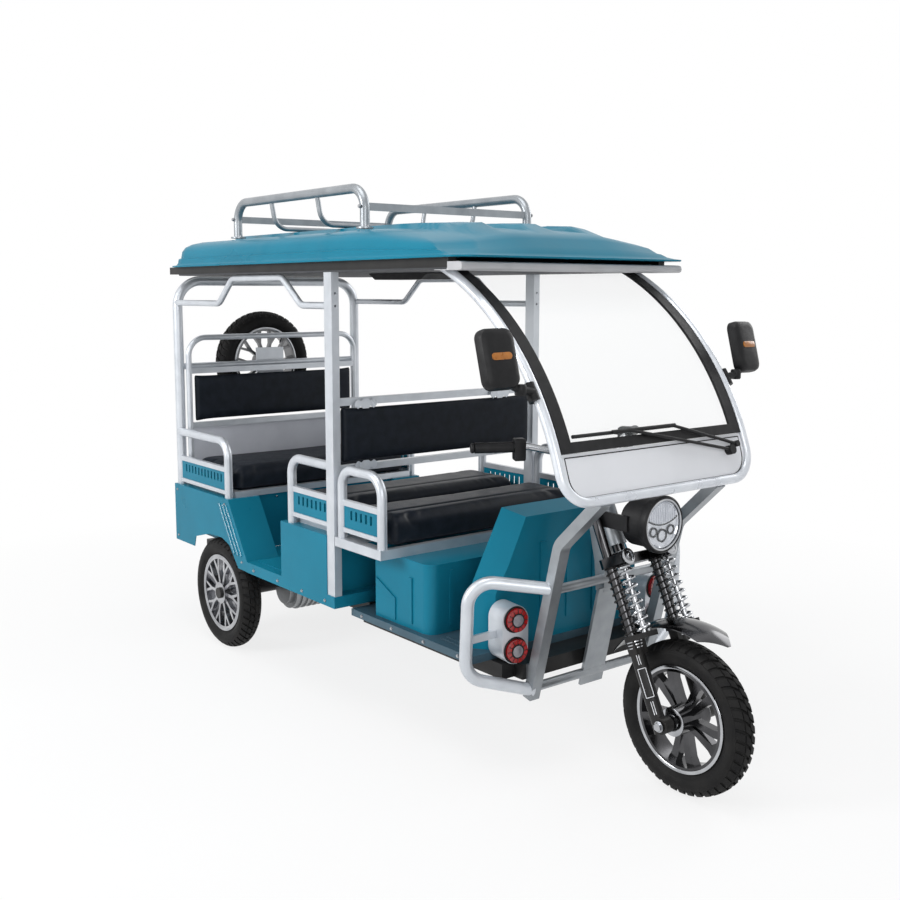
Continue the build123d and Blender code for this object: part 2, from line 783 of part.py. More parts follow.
# Lamp pods inside the side guards, and the tail lamps on the back panel.
pod_place = Pos(post_foot_x - 12, post_y + 58, 448) * Rot(0, 0, 8)
pod_face = Plane((0, 0, 0), x_dir=(0, 0, 1), z_dir=(-1, 0, 0))
pod = extrude(pod_face * SlotOverall(186, 96), amount=80)
lenses = []
for lens_z in (49, -49):
    seat = Pos(0, 0, lens_z) * Rot(0, 90, 0)
    pod -= seat * Cylinder(37, 24)
    lenses.append(pod_place * seat * Pos(0, 0, 2) * Cylinder(37 - gap, 26))
pod = pod_place * pod
pod += block((post_foot_x - 62, post_foot_x - 52), (post_y + 100, post_y + 210), (436, 460)) - guard_clear
pod = pod.solids().sort_by(SortBy.VOLUME)[-1]
tail_place = Pos(rear_x - 4, 425, 560) * Rot(0, 90, 0)
tail = tail_place * Pos(0, 0, -10) * Cylinder(44, 20) - tail_place * Pos(0, 0, -20) * Cylinder(36, 12)
tail_lens = tail_place * Pos(0, 0, -19) * Cylinder(36 - gap, 10)
save("lamp_housings", pod, other_side(pod), tail, other_side(tail))
save(
    "lamp_lenses",
    *lenses,
    *[other_side(lens) for lens in lenses],
    tail_lens,
    other_side(tail_lens),
)

# Seat frames, armrest hoops and their panels.
seat_table = [
    {"x0": pillar_front_x, "x1": 1206, "half_w": pillar_out_y, "z0": base_top_z, "z1": 645},
    {"x0": 560, "x1": pillar_rear_x - 4, "half_w": body_half_w - 44, "z0": 640, "z1": 662},
    {"x0": -347, "x1": 105, "half_w": body_half_w - 44, "z0": housing_top_z, "z1": 680},
]
seat_frames = []
for row in seat_table:
    side_w = 40 if row["half_w"] == pillar_out_y else 25
    z = (row["z0"], row["z1"])
    inner_y = row["half_w"] - side_w
    for side in (1, -1):
        limits = sorted((side * inner_y, side * row["half_w"]))
        seat_frames.append(block((row["x0"], row["x1"]), limits, z))
    for end_x in (row["x0"], row["x1"] - 25):
        seat_frames.append(block((end_x, end_x + 25), (-inner_y + gap, inner_y - gap), z))
save("seat_frames", *seat_frames)

arm_d = 34
arm_top_z = 888
slat_z = [(668, 684), (762, 782)]
arm_table = [
    {"rear_x": 946, "front_x": 1188, "foot_z": 645, "rear_leg": True, "front_leg": True},
    {"rear_x": 600, "front_x": pillar_rear_x, "foot_z": 640, "rear_leg": True, "front_leg": False},
    {"rear_x": hoop_x, "front_x": 86, "foot_z": housing_top_z, "rear_leg": False, "front_leg": True},
]
arms = []
arm_panels = []
for row in arm_table:
    line = [(row["rear_x"], arm_top_z), (row["front_x"], arm_top_z)]
    radii = []
    if row["rear_leg"]:
        line.insert(0, (row["rear_x"], row["foot_z"]))
        radii.append(60)
    if row["front_leg"]:
        line.append((row["front_x"], row["foot_z"]))
        radii.append(70)
    arm = tube([(x, seat_side_y, z) for x, z in line], arm_d, radii)
    for low, top in slat_z:
        arm += block((row["rear_x"], row["front_x"]), (seat_side_y - 9, seat_side_y + 9), (low, top))
    arm -= hoop_clear
    arms.append(arm)
    panel_x0 = row["rear_x"] + (arm_d / 2 + gap if row["rear_leg"] else hoop_d / 2 + 1)
    panel_x1 = row["front_x"] - (arm_d / 2 + gap if row["front_leg"] else gap)
    insert = block((panel_x0, panel_x1), (seat_side_y - 4, seat_side_y + 4), (684 + gap, 762 - gap))
    slots = int((panel_x1 - panel_x0 - 30) / 30)
    for n in range(slots):
        slot_x = (panel_x0 + panel_x1) / 2 + 30 * (n - (slots - 1) / 2)
        insert -= block((slot_x - 6, slot_x + 6), (seat_side_y - 9, seat_side_y + 9), (716, 748))
    arm_panels.append(insert)
save("armrest_frames", *arms, *[other_side(arm) for arm in arms])
save("armrest_panels", *arm_panels, *[other_side(insert) for insert in arm_panels])


def cushion(x, half_w, z, radius):
    """Upholstered block with rounded edges above a flat base."""
    pad = block(x, (-half_w, half_w), z)
    pad = fillet(pad.edges().filter_by(Axis.Z), 30)
    return fillet(pad.faces().sort_by(Axis.Z)[-1].edges(), radius)


pad_half_w = body_half_w - 50
save("driver_cushion", cushion((932, 1200), pad_half_w, (645, 748), 28))
save("mid_cushion", cushion((570, 864), pad_half_w, (662, 752), 28))
save("rear_cushion", cushion((-316, 108), pad_half_w, (680, 772), 28))

# Backrests.
back_x = (892, 914)
back_rails = []
for low, top in [(868, 892), (1104, 1130)]:
    back_rails.append(block(back_x, (-pillar_in_y + gap, pillar_in_y - gap), (low, top)))
save("driver_back_rails", *back_rails)
driver_pad = block((884, 922), (-pillar_in_y + 5, pillar_in_y - 5), (892 + gap, 1104 - gap))
driver_pad = fillet(driver_pad.edges().filter_by(Axis.Y), 10)
save("driver_backrest", driver_pad)

# Scalloped plates that clip the backrest to its rails.
plate_x = (922 + gap, 925 + gap)
plate_half = [(0, -17), (12, -17), (20, -8), (34, -17), (46, -6)]
plate_half += [(46, 8), (34, 17), (20, 10), (10, 17), (0, 17)]
plate_outline = plate_half + [(-y, z) for y, z in reversed(plate_half[1:-1])]
plates = []
for plate_y in (-350, 280):
    for plate_z in (888, 1108):
        plates.append(front_plate([(plate_y + y, plate_z + z) for y, z in plate_outline], *plate_x))
save("backrest_plates", *plates)

rear_back_x = -334
rear_back_y = body_half_w - 58
rear_back = tube(
    [
        (rear_back_x, -rear_back_y, 680),
        (rear_back_x, -rear_back_y, 1300),
        (rear_back_x, rear_back_y, 1300),
        (rear_back_x, rear_back_y, 680),
    ],
    25,
    80,
)
for low, top in [(903, 927), (1143, 1167)]:
    rear_back += block((rear_back_x - 10, rear_back_x + 10), (-rear_back_y, rear_back_y), (low, top))
save("rear_back_frame", rear_back)
rear_pad = block((-350, -316), (-rear_back_y + 14, rear_back_y - 14), (927 + gap, 1143 - gap))
save("rear_backrest", fillet(rear_pad.edges().filter_by(Axis.Y), 10))
lower_back = block(
    (rear_back_x - 2, rear_back_x + 2), (-rear_back_y + 13, rear_back_y - 13), (680 + gap, 903 - gap)
)
save("rear_lower_panel", lower_back)

# Carrier for the spare wheel.
carrier = rod((hoop_x, -hoop_y, spare_z), (hoop_x, hoop_y, spare_z), 28) - hoop_clear
carrier = carrier.solids().sort_by(SortBy.VOLUME)[-1]
carrier += block((hoop_x - 22, hoop_x - 12), (-70, 70), (spare_z - 70, spare_z + 70))
carrier += rod((hoop_x - 14, 0, spare_z), (spare_x - 44, 0, spare_z), 2 * axle_r)
save("spare_carrier", carrier)

# Steering: yoke with stem and upper tubes, sliders, springs, mudguard, headlight and handlebar.
stanchion_low = -250
yoke = rod(on_fork(0, 0, -8), on_fork(0, 0, 270), 2 * stem_r)
low_plate = [(-28, -20), (20, -120), (36, -126), (116, -124), (116, -70), (60, -60)]
low_plate += [(x, -y) for x, y in reversed(low_plate)]
top_plate = [(-28, -22), (16, -122), (62, -122)]
top_plate += [(x, -y) for x, y in reversed(top_plate)]
for outline, z0, z1 in [(low_plate, -10, 20), (top_plate, 262, 284)]:
    face = make_face(Polyline([(x, y, z0) for x, y in outline], close=True))
    yoke += fork_plane * extrude(face, amount=z1 - z0, dir=(0, 0, 1))
for side in (1, -1):
    leg = side * leg_y
    yoke += rod(on_fork(leg_ahead, leg, stanchion_low), on_fork(leg_ahead, leg, 290), 32)
    eye_y = side * spring_y
    yoke += rod(on_fork(70, eye_y, 6), on_fork(122, eye_y, 6), 46)
save("fork_yoke", yoke)

perch_z = -222
axle_local = fork_plane.to_local_coords(Vector(wheelbase, 0, axle_z))
sliders = rod((wheelbase, -126, axle_z), (wheelbase, 126, axle_z), 2 * front_axle_r)
for side in (1, -1):
    leg = side * leg_y
    slider = rod(on_fork(leg_ahead, leg, stanchion_low), on_fork(leg_ahead, leg, axle_local.Z - 20), 44)
    slider += rod(
        (wheelbase, leg - side * 17, axle_z), (wheelbase, leg + side * 17, axle_z), 50
    )
    arm_y = (min(side * 72, side * 122), max(side * 72, side * 122))
    slider += fork_plane * block((26, 120), arm_y, (perch_z - 16, perch_z))
    slider += fork_plane * block((26, 60), arm_y, (stanchion_low - 30, perch_z))
    slider -= rod(on_fork(leg_ahead, leg, stanchion_low), on_fork(leg_ahead, leg, 0), 32 + 2 * gap)
    sliders += slider
save("fork_sliders", sliders)


def coil(r_out, wire, bore_r, z0, z1, turns):
    """Closed stack of ridges that stands for a coil spring."""
    pitch = (z1 - z0) / turns
    points = [(bore_r, z0)]
    for n in range(turns):
        low = z0 + n * pitch
        points += [(r_out - wire, low), (r_out, low + pitch * 0.35), (r_out, low + pitch * 0.65)]
    points += [(r_out - wire, z1), (bore_r, z1)]
    face = make_face(Plane.XZ * Polyline(points, close=True))
    return revolve(face, axis=Axis.Z)


front_coil = coil(25, 8, 9, perch_z, -18, 9)
leg_coil = coil(22, 5, 16 + gap, perch_z, -10 - gap, 10)
coils = []
for side in (1, -1):
    coils.append(fork_plane * Pos(spring_ahead, side * spring_y, 0) * front_coil)
save("front_springs", *coils)
leg_coils = [fork_plane * Pos(leg_ahead, side * leg_y, 0) * leg_coil for side in (1, -1)]
save("leg_springs", *leg_coils)

guard_deg = (60, 147)
guard_section = [
    ThreePointArc((284, -66), (299, 0), (284, 66)),
    Line((284, 66), (281, 66)),
    ThreePointArc((281, 66), (296, 0), (281, -66)),
    Line((281, -66), (284, -66)),
]
mudguard = revolve(make_face(guard_section), axis=Axis.Y, revolution_arc=guard_deg[1] - guard_deg[0])
mudguard = Pos(wheelbase, 0, axle_z) * Rot(0, -guard_deg[1], 0) * mudguard
tip_x = wheelbase + 299 * cos(radians(guard_deg[0])) + 6
for side in (1, -1):
    corner = [(tip_x, 0), (tip_x - 74, side * 70), (tip_x + 40, side * 70)]
    outline = make_face(Polyline([(x, y, axle_z) for x, y in corner], close=True))
    mudguard -= extrude(outline, amount=320, dir=(0, 0, 1))
for side in (1, -1):
    tab_y = (min(side * 62, side * (72 - gap)), max(side * 62, side * (72 - gap)))
    mudguard += fork_plane * block((28, 56), tab_y, (-238, -204))
save("front_mudguard", mudguard)

lamp_z = 806
lamp_r = 82
lamp_x = steer_x + 160
lamp_bowl_r = lamp_r - 4
lens_r = 75
shell = rod((lamp_x - 100, 0, lamp_z), (lamp_x - 10, 0, lamp_z), 2 * lamp_bowl_r)
shell += rod((lamp_x - 16, 0, lamp_z), (lamp_x, 0, lamp_z), 2 * lamp_r)
shell += rod((lamp_x - 124, 0, lamp_z), (lamp_x - 99, 0, lamp_z), 116)
shell -= rod((lamp_x - 12, 0, lamp_z), (lamp_x + 1, 0, lamp_z), 2 * lens_r)
for side in (1, -1):
    ear_y = (min(side * 74, side * (84 - gap)), max(side * 74, side * (84 - gap)))
    shell += block((lamp_x - 194, lamp_x - 74), ear_y, (lamp_z - 24, lamp_z + 24))
save("headlight_shell", shell)
save("headlight_lens", rod((lamp_x - 12, 0, lamp_z), (lamp_x - 3, 0, lamp_z), 2 * (lens_r - gap)))

grip_end = (steer_x - 292, 362, 1020)
grip_root = (steer_x - 208, 217, 1022)
bar_half = [grip_end, grip_root, (steer_x - 118, 75, 985)]
bar_line = bar_half + [(x, -y, z) for x, y, z in reversed(bar_half)]
handlebar = tube(bar_line, 22, 45)
for side in (1, -1):
    riser_y = (min(side * 30, side * 52), max(side * 30, side * 52))
    handlebar += fork_plane * block((20, 50), riser_y, (284 + gap, 352))
save("handlebar", handlebar)
grip_dir = (Vector(*grip_root) - Vector(*grip_end)).normalized()
grips = []
for side in (1, -1):
    for start, end, d in [(-4, 118, 34), (122, 152, 46)]:
        a = Vector(*grip_end) + grip_dir * start
        b = Vector(*grip_end) + grip_dir * end
        grip = rod((a.X, side * a.Y, a.Z), (b.X, side * b.Y, b.Z), d)
        grips.append(grip - tube(bar_line, 22 + 2 * gap, 45))
save("handlebar_grips", *grips)
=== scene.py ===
import json
import math

import bmesh
import bpy
from mathutils import Matrix, Vector


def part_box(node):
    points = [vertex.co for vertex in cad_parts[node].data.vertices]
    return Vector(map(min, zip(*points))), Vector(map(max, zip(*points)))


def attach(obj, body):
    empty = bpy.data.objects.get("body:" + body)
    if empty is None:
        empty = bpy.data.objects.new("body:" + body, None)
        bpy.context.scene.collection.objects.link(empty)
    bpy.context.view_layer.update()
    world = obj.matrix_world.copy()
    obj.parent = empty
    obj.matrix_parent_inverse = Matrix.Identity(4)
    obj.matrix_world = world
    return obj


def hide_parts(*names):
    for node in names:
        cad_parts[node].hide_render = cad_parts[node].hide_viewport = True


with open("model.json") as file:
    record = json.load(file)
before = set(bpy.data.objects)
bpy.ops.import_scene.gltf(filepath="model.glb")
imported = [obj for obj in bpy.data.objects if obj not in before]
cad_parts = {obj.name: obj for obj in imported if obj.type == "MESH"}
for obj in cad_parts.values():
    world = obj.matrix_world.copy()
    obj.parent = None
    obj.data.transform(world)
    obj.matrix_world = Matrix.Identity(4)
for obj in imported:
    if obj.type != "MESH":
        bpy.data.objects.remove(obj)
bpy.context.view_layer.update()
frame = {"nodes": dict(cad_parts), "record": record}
nodes = frame["nodes"]
scene = bpy.context.scene
scene.view_settings.view_transform = "Standard"

# The CAD source counts stations from the rear axle; this is its place in the shared frame, in metres.
AXLE_X = -0.919
# Sizes and places below are in millimetres, unless a comment says otherwise.
LEFT_AND_RIGHT = (1, -1)
FORWARD = Vector((1, 0, 0))
UP = Vector((0, 0, 1))


def place(x, y, z):
    """Point given in millimetres from the rear axle, as metres in the shared frame."""
    return Vector((x / 1000 + AXLE_X, y / 1000, z / 1000))


# Materials
NOISE_DETAIL = 4
BUMP_DETAIL = 3
BUMP_DEPTH_M = 0.001
LEAST_ROUGH = 0.02
TINT_BLEND = 0.3
IOR = 1.45


def surface(name, colour, tint, rough=0.4, rough_swing=0.1, metal=0.0, scale=8, amount=0.5, bump=0.0,
            bump_scale=200, coat=0.0, coat_rough=0.05, alpha=1.0, specular=0.5):
    """Procedural finish: two tints mixed by noise, roughness that varies, and a fine bump."""
    material = bpy.data.materials.new(name)
    material.use_nodes = True
    tree = material.node_tree
    shader = tree.nodes["Principled BSDF"]
    coords = tree.nodes.new("ShaderNodeTexCoord")
    noise = tree.nodes.new("ShaderNodeTexNoise")
    noise.inputs["Scale"].default_value = scale
    noise.inputs["Detail"].default_value = NOISE_DETAIL
    tree.links.new(coords.outputs["Object"], noise.inputs["Vector"])
    ramp = tree.nodes.new("ShaderNodeValToRGB")
    dark, light = ramp.color_ramp.elements
    dark.position = 0.5 - TINT_BLEND * amount
    light.position = 0.5 + TINT_BLEND * amount
    dark.color = (*tint, 1)
    light.color = (*colour, 1)
    tree.links.new(noise.outputs["Fac"], ramp.inputs["Fac"])
    tree.links.new(ramp.outputs["Color"], shader.inputs["Base Color"])
    spread = tree.nodes.new("ShaderNodeMapRange")
    spread.inputs["To Min"].default_value = max(LEAST_ROUGH, rough - rough_swing)
    spread.inputs["To Max"].default_value = min(1, rough + rough_swing)
    tree.links.new(noise.outputs["Fac"], spread.inputs["Value"])
    tree.links.new(spread.outputs["Result"], shader.inputs["Roughness"])
    if bump:
        fine = tree.nodes.new("ShaderNodeTexNoise")
        fine.inputs["Scale"].default_value = bump_scale
        fine.inputs["Detail"].default_value = BUMP_DETAIL
        tree.links.new(coords.outputs["Object"], fine.inputs["Vector"])
        relief = tree.nodes.new("ShaderNodeBump")
        relief.inputs["Strength"].default_value = bump
        relief.inputs["Distance"].default_value = BUMP_DEPTH_M
        tree.links.new(fine.outputs["Fac"], relief.inputs["Height"])
        tree.links.new(relief.outputs["Normal"], shader.inputs["Normal"])
    shader.inputs["Metallic"].default_value = metal
    shader.inputs["Coat Weight"].default_value = coat
    shader.inputs["Coat Roughness"].default_value = coat_rough
    shader.inputs["Alpha"].default_value = alpha
    shader.inputs["IOR"].default_value = IOR
    shader.inputs["Specular IOR Level"].default_value = specular
    return material


TEAL = surface("teal_paint", (0.010, 0.205, 0.310), (0.007, 0.160, 0.245), rough=0.3, rough_swing=0.08,
               scale=3, amount=0.9, bump=0.05, bump_scale=60, coat=0.07, specular=0.1)
TEAL_GLOSS = surface("teal_gloss", (0.012, 0.215, 0.325), (0.008, 0.175, 0.265), rough=0.16, scale=3,
                     coat=0.8, coat_rough=0.04)
SILVER = surface("silver_paint", (0.64, 0.67, 0.71), (0.53, 0.56, 0.60), rough=0.36, metal=0.5, scale=14,
                 amount=0.8, bump=0.08, bump_scale=500, coat=0.2, coat_rough=0.15)
# Silver darkened as painted shade, for the rack, the front posts and the steering head.
PAINTED_SHADE_SILVER = surface("silver_with_painted_shade", (0.36, 0.38, 0.40), (0.25, 0.27, 0.29), rough=0.36, metal=0.7, scale=14,
                amount=0.8, bump=0.08, bump_scale=500, coat=0.15, coat_rough=0.15)
PALE_SILVER = surface("pale_silver", (0.76, 0.79, 0.83), (0.64, 0.67, 0.72), rough=0.3, metal=0.35,
                      scale=14, amount=0.8, bump=0.08, bump_scale=500, coat=0.3, coat_rough=0.12)
SHEET = surface("floor_sheet", (0.06, 0.12, 0.16), (0.04, 0.08, 0.11), rough=0.42, metal=0.2, scale=9,
                amount=0.8, bump=0.12, bump_scale=240)
VINYL = surface("black_vinyl", (0.014, 0.018, 0.026), (0.009, 0.012, 0.017), rough=0.42, scale=24,
                amount=0.6, bump=0.18, bump_scale=700, specular=0.15)
BLACK = surface("frame_black", (0.012, 0.012, 0.013), (0.022, 0.021, 0.020), rough=0.42, scale=10,
                amount=0.7, bump=0.12, bump_scale=300, specular=0.3)
PLASTIC = surface("black_plastic", (0.008, 0.008, 0.009), (0.014, 0.014, 0.015), rough=0.45, scale=30,
                  amount=0.6, bump=0.2, bump_scale=900, specular=0.25)
ALLOY = surface("motor_alloy", (0.36, 0.37, 0.38), (0.288, 0.296, 0.304), rough=0.45, metal=0.9, scale=20,
                bump=0.2, bump_scale=300)
LINING = surface("lining_grey", (0.56, 0.56, 0.57), (0.50, 0.50, 0.51), rough=0.55, scale=12, bump=0.1)
LINING_SHADE = surface("lining_dark", (0.075, 0.077, 0.082), (0.055, 0.057, 0.062), rough=0.6, scale=12,
                       bump=0.1, specular=0.2)
BACK_PANEL = surface("back_panel_grey", (0.74, 0.76, 0.82), (0.66, 0.68, 0.74), rough=0.4, scale=6,
                     bump=0.08)
WHITE = surface("panel_white", (0.90, 0.91, 0.94), (0.86, 0.87, 0.90), rough=0.22, scale=5, coat=0.4)
RUBBER = surface("tyre_rubber", (0.007, 0.007, 0.0075), (0.013, 0.0125, 0.012), rough=0.62, scale=20,
                 amount=0.7, bump=0.3, bump_scale=500, specular=0.2)
CHROME = surface("chrome", (0.52, 0.53, 0.55), (0.36, 0.37, 0.39), rough=0.16, rough_swing=0.06, metal=1.0,
                 scale=16, amount=0.6, bump=0.03)
DARK_CHROME = surface("dark_chrome", (0.10, 0.10, 0.105), (0.06, 0.06, 0.063), rough=0.16,
                      rough_swing=0.06, metal=1.0, scale=12)
RIM_ALLOY = surface("rim_alloy", (0.52, 0.53, 0.55), (0.34, 0.34, 0.36), rough=0.24, rough_swing=0.08,
                    metal=1.0, scale=12)
# Rim alloy darkened as painted shade, for the spare rim.
PAINTED_SHADE_SPARE_ALLOY = surface("spare_alloy_with_painted_shade", (0.20, 0.205, 0.21), (0.13, 0.13, 0.135), rough=0.3,
                      rough_swing=0.08, metal=1.0, scale=12)
RED = surface("lens_red", (0.42, 0.012, 0.012), (0.30, 0.008, 0.008), rough=0.16, scale=30, coat=0.6)
AMBER = surface("mark_amber", (0.50, 0.17, 0.008), (0.38, 0.12, 0.006), rough=0.3, scale=60, coat=0.4)
CLEAR = surface("lens_clear", (0.72, 0.74, 0.79), (0.56, 0.58, 0.63), rough=0.1, metal=0.5, scale=40,
                coat=0.6)
LENS_GREY = surface("lens_grey", (0.26, 0.25, 0.27), (0.18, 0.17, 0.19), rough=0.18, scale=60, coat=0.6)
GLASS = surface("screen_glass", (0.9, 0.95, 0.96), (0.88, 0.93, 0.94), rough=0.03, rough_swing=0.01,
                scale=4, alpha=0.08)

SLOT_FINISH = {
    "teal_paint": TEAL,
    "silver_paint": SILVER,
    "black_vinyl": VINYL,
    "frame_black": BLACK,
    "motor_grey": ALLOY,
    "lining_grey": LINING,
    "panel_white": WHITE,
    "seal_black": PLASTIC,
    "screen_glass": GLASS,
    "lens_red": RED,
    "lens_clear": CLEAR,
    "chrome": CHROME,
    "dark_chrome": DARK_CHROME,
    "tyre_rubber": RUBBER,
}
# Pieces whose finish differs from the rest of their slot.
OWN_FINISH = {
    "windscreen_frame": PALE_SILVER,
    "backrest_plates": PALE_SILVER,
    "roof_lining": LINING_SHADE,
    "fork_yoke": DARK_CHROME,
    # The rack, the front posts and the steering head take the silver darkened as painted shade.
    "roof_rack": PAINTED_SHADE_SILVER,
    "front_posts": PAINTED_SHADE_SILVER,
    "steering_head": PAINTED_SHADE_SILVER,
    "headlight_shell": PLASTIC,
    "driver_floor": SHEET,
    "rear_lower_panel": BACK_PANEL,
    "rear_left_rim": RIM_ALLOY,
    "rear_right_rim": RIM_ALLOY,
    # The spare rim takes the rim alloy darkened as painted shade.
    "spare_rim": PAINTED_SHADE_SPARE_ALLOY,
}
slot_of = {part["node"]: part["material_slot"] for part in frame["record"]["subparts"]}
for name, obj in nodes.items():
    obj.data.materials.clear()
    obj.data.materials.append(OWN_FINISH.get(name, SLOT_FINISH[slot_of[name]]))

# Mesh tools: each adds faces to a bmesh, at points in metres in the shared frame.


def join_rings(bm, rings):
    """Skin neighbouring rings of vertices with quads, and close both ends."""
    count = len(rings[0])
    for a, b in zip(rings, rings[1:]):
        for n in range(count):
            bm.faces.new((a[n], a[(n + 1) % count], b[(n + 1) % count], b[n]))
    bm.faces.new(reversed(rings[0]))
    bm.faces.new(rings[-1])


def add_sweep(bm, points, radius, sides=10, squash=1.0):
    """Round bar along points; the section turns with the path and never twists."""
    ahead = (points[1] - points[0]).normalized()
    across = ahead.orthogonal().normalized()
    rings = []
    for n, point in enumerate(points):
        before = points[max(n - 1, 0)]
        after = points[min(n + 1, len(points) - 1)]
        turn = ahead.rotation_difference((after - before).normalized())
        across = (turn @ across).normalized()
        ahead = (after - before).normalized()
        up = ahead.cross(across)
        ring = []
        for k in range(sides):
            angle = 2 * math.pi * k / sides
            out = across * math.cos(angle) + up * math.sin(angle) * squash
            ring.append(bm.verts.new(point + out * (radius / 1000)))
        rings.append(ring)
    join_rings(bm, rings)


def add_revolve(bm, profile, at, axis, steps=48, closed=False):
    """Turn a profile of (radius, distance along the axis) about an axis through a point."""
    axis = Vector(axis).normalized()
    across = axis.orthogonal().normalized()
    up = axis.cross(across)
    rings = []
    for k in range(steps):
        angle = 2 * math.pi * k / steps
        out = across * math.cos(angle) + up * math.sin(angle)
        rings.append([bm.verts.new(at + out * (r / 1000) + axis * (d / 1000)) for r, d in profile])
    last = len(profile) if closed else len(profile) - 1
    for k in range(steps):
        a = rings[k]
        b = rings[(k + 1) % steps]
        for n in range(last):
            m = (n + 1) % len(profile)
            if profile[n][0] == 0 and profile[m][0] == 0:
                continue
            bm.faces.new((a[n], a[m], b[m], b[n]))


def add_bolt(bm, at, axis, size):
    """Hexagon head on a washer, standing on a surface; size is the thread."""
    washer = 1.6
    shoulder = washer + size * 0.5
    top = washer + size * 0.62
    add_revolve(bm, [(0, 0), (size * 1.05, 0), (size * 1.05, washer), (0, washer)], at, axis, 16)
    head = [(0, washer), (size * 0.85, washer), (size * 0.85, shoulder), (size * 0.7, top), (0, top)]
    add_revolve(bm, head, at, axis, 6)


def dress(obj, material, body, replaced=()):
    """Give an object its finish and tie it to its body."""
    obj.data.materials.clear()
    obj.data.materials.append(material)
    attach(obj, body)
    if replaced:
        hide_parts(*replaced)


def make_piece(name, bm, material, body, replaced=(), smooth_deg=38):
    """Close a bmesh into a named piece that rides on a body."""
    bmesh.ops.remove_doubles(bm, verts=bm.verts, dist=1e-6)
    bmesh.ops.recalc_face_normals(bm, faces=bm.faces)
    for face in bm.faces:
        face.smooth = True
    for edge in bm.edges:
        if edge.is_manifold and edge.calc_face_angle(0) > math.radians(smooth_deg):
            edge.smooth = False
    mesh = bpy.data.meshes.new(name)
    bm.to_mesh(mesh)
    bm.free()
    obj = bpy.data.objects.new(name, mesh)
    scene.collection.objects.link(obj)
    dress(obj, material, body, replaced)


# Tyres: a carcass with four rows of skewed tread blocks.
WHEEL_BODY = {
    "front": "front_wheel",
    "rear_left": "rear_wheel_left",
    "rear_right": "rear_wheel_right",
    "spare": "chassis",
}
WHEEL_R = 235
TREAD_HALF_W = 40
TREAD_DEPTH = 6
TREAD_PITCHES = 44
CROWN_DROP = 20
CROWN_POWER = 2.7
# Length of a block as a share of the pitch, its flare towards the foot and how deep the foot sinks.
BLOCK_SHARE = 0.68
BLOCK_FLARE = 0.06
BLOCK_SINK = 1
TREAD_ROWS = [
    {"inner": 2, "outer": 18, "lead": 0.42, "shift": 0.0},
    {"inner": 21.5, "outer": TREAD_HALF_W, "lead": 0.30, "shift": 0.5},
]
# Half of the carcass from its bead to the shoulder: radius, distance from the middle plane.
SIDE_WALL = [(152, 30), (165, 30), (168, 34), (172, 35), (177, 40.5), (186, 44), (196, 45), (206, 43.6),
             (207, 42.6), (212, 41.6)]


def crown(y):
    """Radius of the tread surface at a distance from the middle plane."""
    return WHEEL_R - CROWN_DROP * (abs(y) / TREAD_HALF_W) ** CROWN_POWER


def wheel_place(node):
    """Centre of a wheel piece's box, its axle and the level direction across the axle."""
    low, high = (Vector(corner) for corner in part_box(node))
    size = high - low
    axis = Vector((1, 0, 0)) if size.x < size.y else Vector((0, 1, 0))
    return (low + high) / 2, axis, UP.cross(axis)


def wheel_point(centre, axis, ahead, r, angle, y):
    """Point on a wheel by radius, angle and distance along its axle."""
    up = axis.cross(ahead)
    return centre + (ahead * math.cos(angle) + up * math.sin(angle)) * (r / 1000) + axis * (y / 1000)


def add_tread_block(bm, point, row, side, start, pitch):
    """One block: a curved top, flared walls and an open foot inside the carcass."""
    length = pitch * BLOCK_SHARE
    rows = []
    for level, flare in ((0, 0), (TREAD_DEPTH + BLOCK_SINK, BLOCK_FLARE)):
        grid = []
        for i in range(4):
            line = []
            for j in range(3):
                across = j / 2
                y = row["inner"] + (row["outer"] - row["inner"]) * across
                y += (across - 0.5) * flare * TREAD_HALF_W
                along = start + length * (i / 3) + (i / 3 - 0.5) * flare * pitch
                along += row["lead"] * pitch * across * side
                line.append(bm.verts.new(point(crown(y) - level, along, side * y)))
            grid.append(line)
        rows.append(grid)
    top, low = rows
    for i in range(3):
        for j in range(2):
            bm.faces.new((top[i][j], top[i + 1][j], top[i + 1][j + 1], top[i][j + 1]))
    rim_top = top[0] + [top[1][2], top[2][2]] + top[3][::-1] + [top[2][0], top[1][0]]
    rim_low = low[0] + [low[1][2], low[2][2]] + low[3][::-1] + [low[2][0], low[1][0]]
    for n in range(len(rim_top)):
        m = (n + 1) % len(rim_top)
        bm.faces.new((rim_top[n], rim_top[m], rim_low[m], rim_low[n]))
    for i in (1, 2):
        bm.verts.remove(low[i][1])


def make_tyre(wheel, body):
    """Tyre with its tread, in the place of the CAD tyre."""
    node = wheel + "_tyre"
    centre, axis, ahead = wheel_place(node)
    bm = bmesh.new()
    half = SIDE_WALL + [(crown(y) - TREAD_DEPTH, y) for y in (37, 30, 20, 10, 0)]
    profile = half + [(r, -y) for r, y in reversed(half[:-1])]
    add_revolve(bm, profile, centre, axis, 120, closed=True)
    pitch = 2 * math.pi / TREAD_PITCHES

    def point(r, angle, y):
        return wheel_point(centre, axis, ahead, r, angle, y)

    for n in range(TREAD_PITCHES):
        for row in TREAD_ROWS:
            for side in LEFT_AND_RIGHT:
                start = (n + row["shift"] + 0.25 * side) * pitch
                add_tread_block(bm, point, row, side, start, pitch)
    make_piece(node + "_tread", bm, RUBBER, body, [node], smooth_deg=40)


for wheel, body in WHEEL_BODY.items():
    make_tyre(wheel, body)

